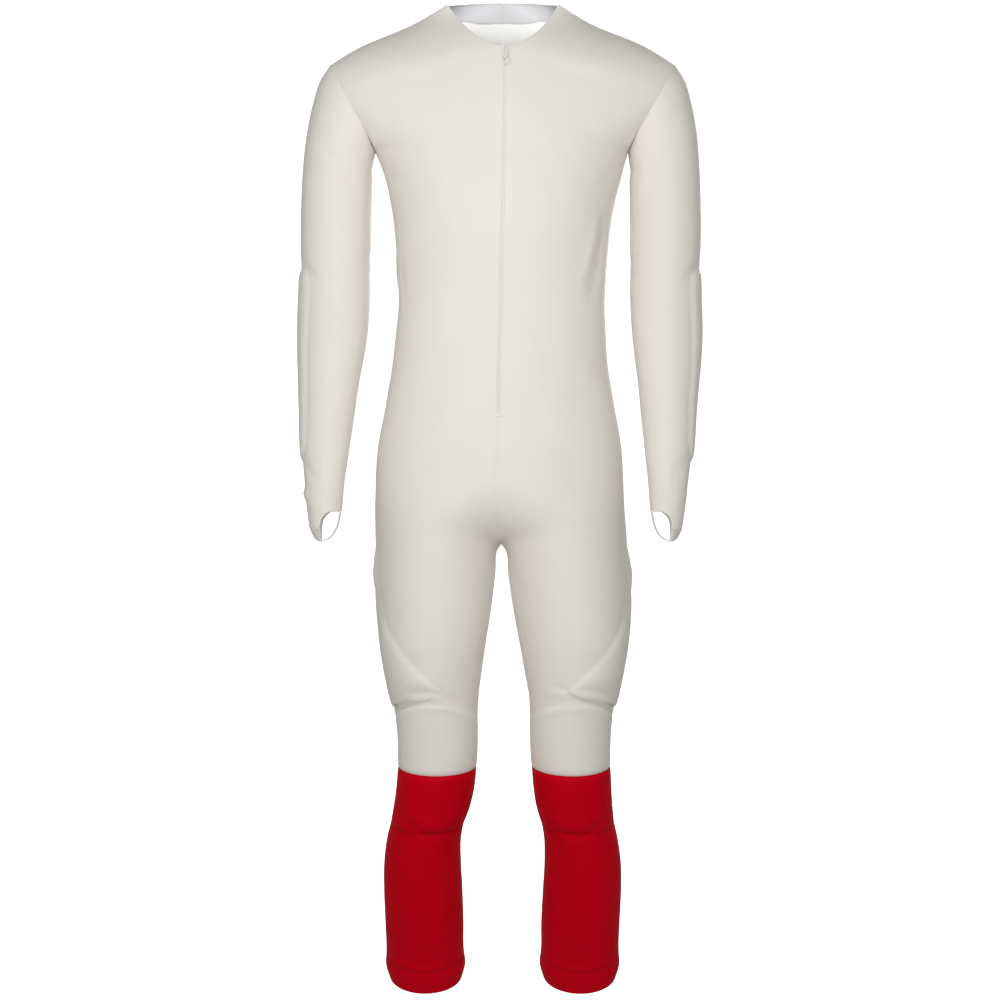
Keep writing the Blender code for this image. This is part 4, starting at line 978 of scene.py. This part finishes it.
def seamStitches(line, beside, normals, offsets):
    # rows of stitches at set distances from a seam, towards the line of points beside it
    runs = []
    for offset in offsets:
        shifted = line + unit(beside - line) * offset + normals * sewing["lift"]
        places, ways, faced = alongLine(shifted, normals, sewing["pitch"])
        template, faces = bead(sewing["length"], sewing["width"], sewing["height"])
        runs.append(repeated(template, faces, places, ways, unit(np.cross(faced, ways)), faced))
    return runs


def seamCover(line, normals):
    # a flat cord of thread over a seam: flattened rings along the line, closed at both ends
    ways = unit(np.gradient(line, axis=0))
    faced = unit(normals - ways * (normals * ways).sum(-1, keepdims=True))
    across = np.cross(faced, ways)
    turn = np.linspace(0, 2 * math.pi, 8, endpoint=False)[:, None]
    rings = (line[:, None] + across[:, None] * np.cos(turn) * sewing["coverHalf"]
             + faced[:, None] * (np.sin(turn) * sewing["coverHeight"] - sewing["coverSink"]))
    caps = np.array([(0, 1, 2, 3), (0, 3, 4, 7), (4, 5, 6, 7)])
    faces = np.concatenate([gridFaces(len(line), 8, True, False), caps[:, ::-1] + (len(line) - 1) * 8, caps])
    return rings.reshape(-1, 3), faces


def gatherRuns(name, runs, slot):
    # one object from many runs, whose faces count on from the points before them
    firsts = np.cumsum([0] + [len(points) for points, _ in runs])
    faces = np.concatenate([faces + first for (_, faces), first in zip(runs, firsts)])
    addObject(name, np.concatenate([points for points, _ in runs]), faces, threads[slot], slot=slot)


stitchRuns = {"white_knit": [], "red_knit": []}
coverRuns = {"white_knit": [], "red_knit": []}
everyOne = slice(None)
doubleRow = (sewing["offset"], sewing["offset"] + sewing["apart"])


def skinOf(made):
    # the lifted points and their normals, with a closed ring's first column again at its end
    data = np.concatenate([made["data"], made["data"][:, :1]], axis=1) if made["closed"] else made["data"]
    return data[..., :3] + data[..., 3:6] * data[..., 8:9], data[..., 3:6]


def stitch(slot, skin, rows, columns, step, offsets=(sewing["offset"],)):
    # stitches along these rows and columns, shifted towards the neighbours that lie a step away
    points, normals = skin
    beside = points[rows, columns + step] if isinstance(rows, slice) else points[rows + step, columns]
    stitchRuns[slot] += seamStitches(points[rows, columns], beside, normals[rows, columns], offsets)


for side, own in halves.items():
    front, back, sleeve = (skinOf(own[key]) for key in ("front", "back", "sleeve"))
    kneeTop, change, padEnd, bandTop, crotch, zipEnd = (seamRow(own["front"], name) for name in (
        "kneeTop", "colourChange", "padEnd", "bandTop", "crotch", "zipEnd"))
    backNeck = yokeIndex(own["back"], cut["backNeckRows"])
    for skin, rows, columns, step in (
            (front, slice(0, kneeTop), -1, -1), (front, slice(zipEnd, kneeTop), 0, 1),
            (back, slice(0, change), -1, -1), (back, slice(backNeck, change), 0, 1),
            (sleeve, 0, everyOne, 1), (front, kneeTop, everyOne, -1)):
        stitch("white_knit", skin, rows, columns, step)
    for skin, top in ((front, padEnd), (back, change)):
        stitch("red_knit", skin, top, everyOne, 1)
        stitch("red_knit", skin, bandTop, everyOne, -1, doubleRow)
        stitch("red_knit", skin, slice(top, bandTop), 0, 1)
        stitch("red_knit", skin, slice(top, bandTop), -1, -1)
    for line, beside, normals in facingEdges[side]:
        stitchRuns["white_knit"] += seamStitches(line, beside, normals, (0.0, sewing["apart"]))
    whiteRows, redRows = slice(0, change + 1), slice(change, bandTop + 1)
    inWhite = ((front, 0, everyOne), (sleeve, 0, everyOne), (front, whiteRows, -1),
               (front, slice(crotch, change + 1), 0), (front, kneeTop, everyOne))
    inRed = ((front, redRows, -1), (front, redRows, 0), (front, change, everyOne), (back, change, everyOne),
             (front, padEnd, everyOne), (front, bandTop, everyOne), (back, bandTop, everyOne))
    for slot, runs in (("white_knit", inWhite), ("red_knit", inRed)):
        coverRuns[slot] += [seamCover(skin[0][rows, columns], skin[1][rows, columns])
                            for skin, rows, columns in runs]
    if side == "right":
        for skin, first in ((front, zipEnd), (back, backNeck)):
            line, normals = (part[first:crotch + 1, 0] for part in skin)
            coverRuns["white_knit"].append(seamCover(line, normals * [0, 1, 1]))
        # a bar of stitches across the seam under the zip's stop
        below = front[0][zipEnd:crotch, 0][::-1]
        place = [np.interp(sewing["tackZ"], below[:, 2], below[:, axis]) for axis in range(3)]
        faced = unit(front[1][zipEnd, 0] * [0, 1, 1])[None]
        way = np.array([[1.0, 0, 0]])
        stitchRuns["white_knit"].append(repeated(*bead(*sewing["tack"]), np.array([place]), way,
                                                 np.cross(faced, way), faced))
for slot, colour in (("white_knit", "White"), ("red_knit", "Red")):
    gatherRuns("stitches" + colour, stitchRuns[slot], slot)
    gatherRuns("seamCovers" + colour, coverRuns[slot], slot)
print("sewing made:", sum(len(runs) for runs in stitchRuns.values()), "runs")


# Stage: pale paper all round, soft lights and the camera at the photograph's angle.
view = {"distance": 3.1, "height": -0.6743, "across": -0.0022, "spanAtSuit": 1.45, "sensor": 36.0}


def paperBowl():
    # a round floor that turns up into a wall all round by a quarter circle
    floorZ, wall, radius = -1.43, 5.4, 1.6
    turn = np.linspace(0, math.pi / 2, 17)
    reach = np.concatenate([[0.0002, 1.5, 2.8], wall - radius + radius * np.sin(turn), [wall]])
    z = np.concatenate([[floorZ] * 3, floorZ + radius - radius * np.cos(turn), [5.0]])
    around = np.linspace(0, 2 * math.pi, 64, endpoint=False)
    points = np.stack([reach[:, None] * np.cos(around), reach[:, None] * np.sin(around),
                       np.repeat(z[:, None], 64, 1)], -1)
    mesh = bpy.data.meshes.new("paperBowl")
    mesh.from_pydata(points.reshape(-1, 3).tolist(), [], gridFaces(len(z), 64, True, False).tolist())
    mesh.shade_smooth()
    made = placed("paperBowl", mesh)
    paper, _, _ = newMaterial("pale studio paper, lit through", {
        "Base Color": hexColour("FAFAFA"), "Roughness": 0.9, "Emission Color": hexColour("FFFFFF"),
        "Emission Strength": 1.0})
    mesh.materials.append(paper)
    # the paper throws no light and no shadow on the suit
    made.visible_diffuse = made.visible_glossy = made.visible_shadow = False


def softLight(name, place, target, size, power, spread=180):
    light = bpy.data.lights.new(name, "AREA")
    light.shape = "RECTANGLE"
    light.size, light.size_y = size
    light.energy = power
    light.spread = math.radians(spread)
    made = placed(name, light)
    made.location = place
    made.rotation_euler = (Vector(target) - Vector(place)).to_track_quat("-Z", "Y").to_euler()
    made.visible_camera = False


paperBowl()
softLight("keyLight", (-0.14, -1.3, -0.2), (0, 0, -0.22), (1.1, 1.1), 9.2)
softLight("fillLight", (-0.1, -2.6, -0.7), (0, 0, -0.6), (1.2, 1.4), 7.5)
# narrow beams reach the inside of the neck past the chest
softLight("collarLight", (0, -1.0, 0.35), (0, 0.07, 0.032), (0.2, 0.05), 0.023, 6)
for side, sign in (("Right", 1), ("Left", -1)):
    softLight("neckLight" + side, (-0.8 * sign, -0.6, 0.5), (0.06 * sign, 0.02, 0.055),
              (0.08, 0.05), 0.012, 6)
softLight("backLight", (0.8, 2.6, 0.5), (0, 0, -0.6), (1.4, 1.4), 36)
world = bpy.data.worlds.new("studio")
world.use_nodes = True
world.node_tree.nodes["Background"].inputs["Color"].default_value = hexColour("FDFCF8")
world.node_tree.nodes["Background"].inputs["Strength"].default_value = 0.36
bpy.context.scene.world = world
bpy.context.scene.view_settings.view_transform = "Standard"
camera = placed("camera", bpy.data.cameras.new("camera"))
camera.data.sensor_width = view["sensor"]
camera.data.lens = view["sensor"] * view["distance"] / view["spanAtSuit"]
camera.location = (view["across"], -view["distance"], view["height"])
camera.rotation_euler = (math.pi / 2, 0, 0)
bpy.context.scene.camera = camera
print("stage made")
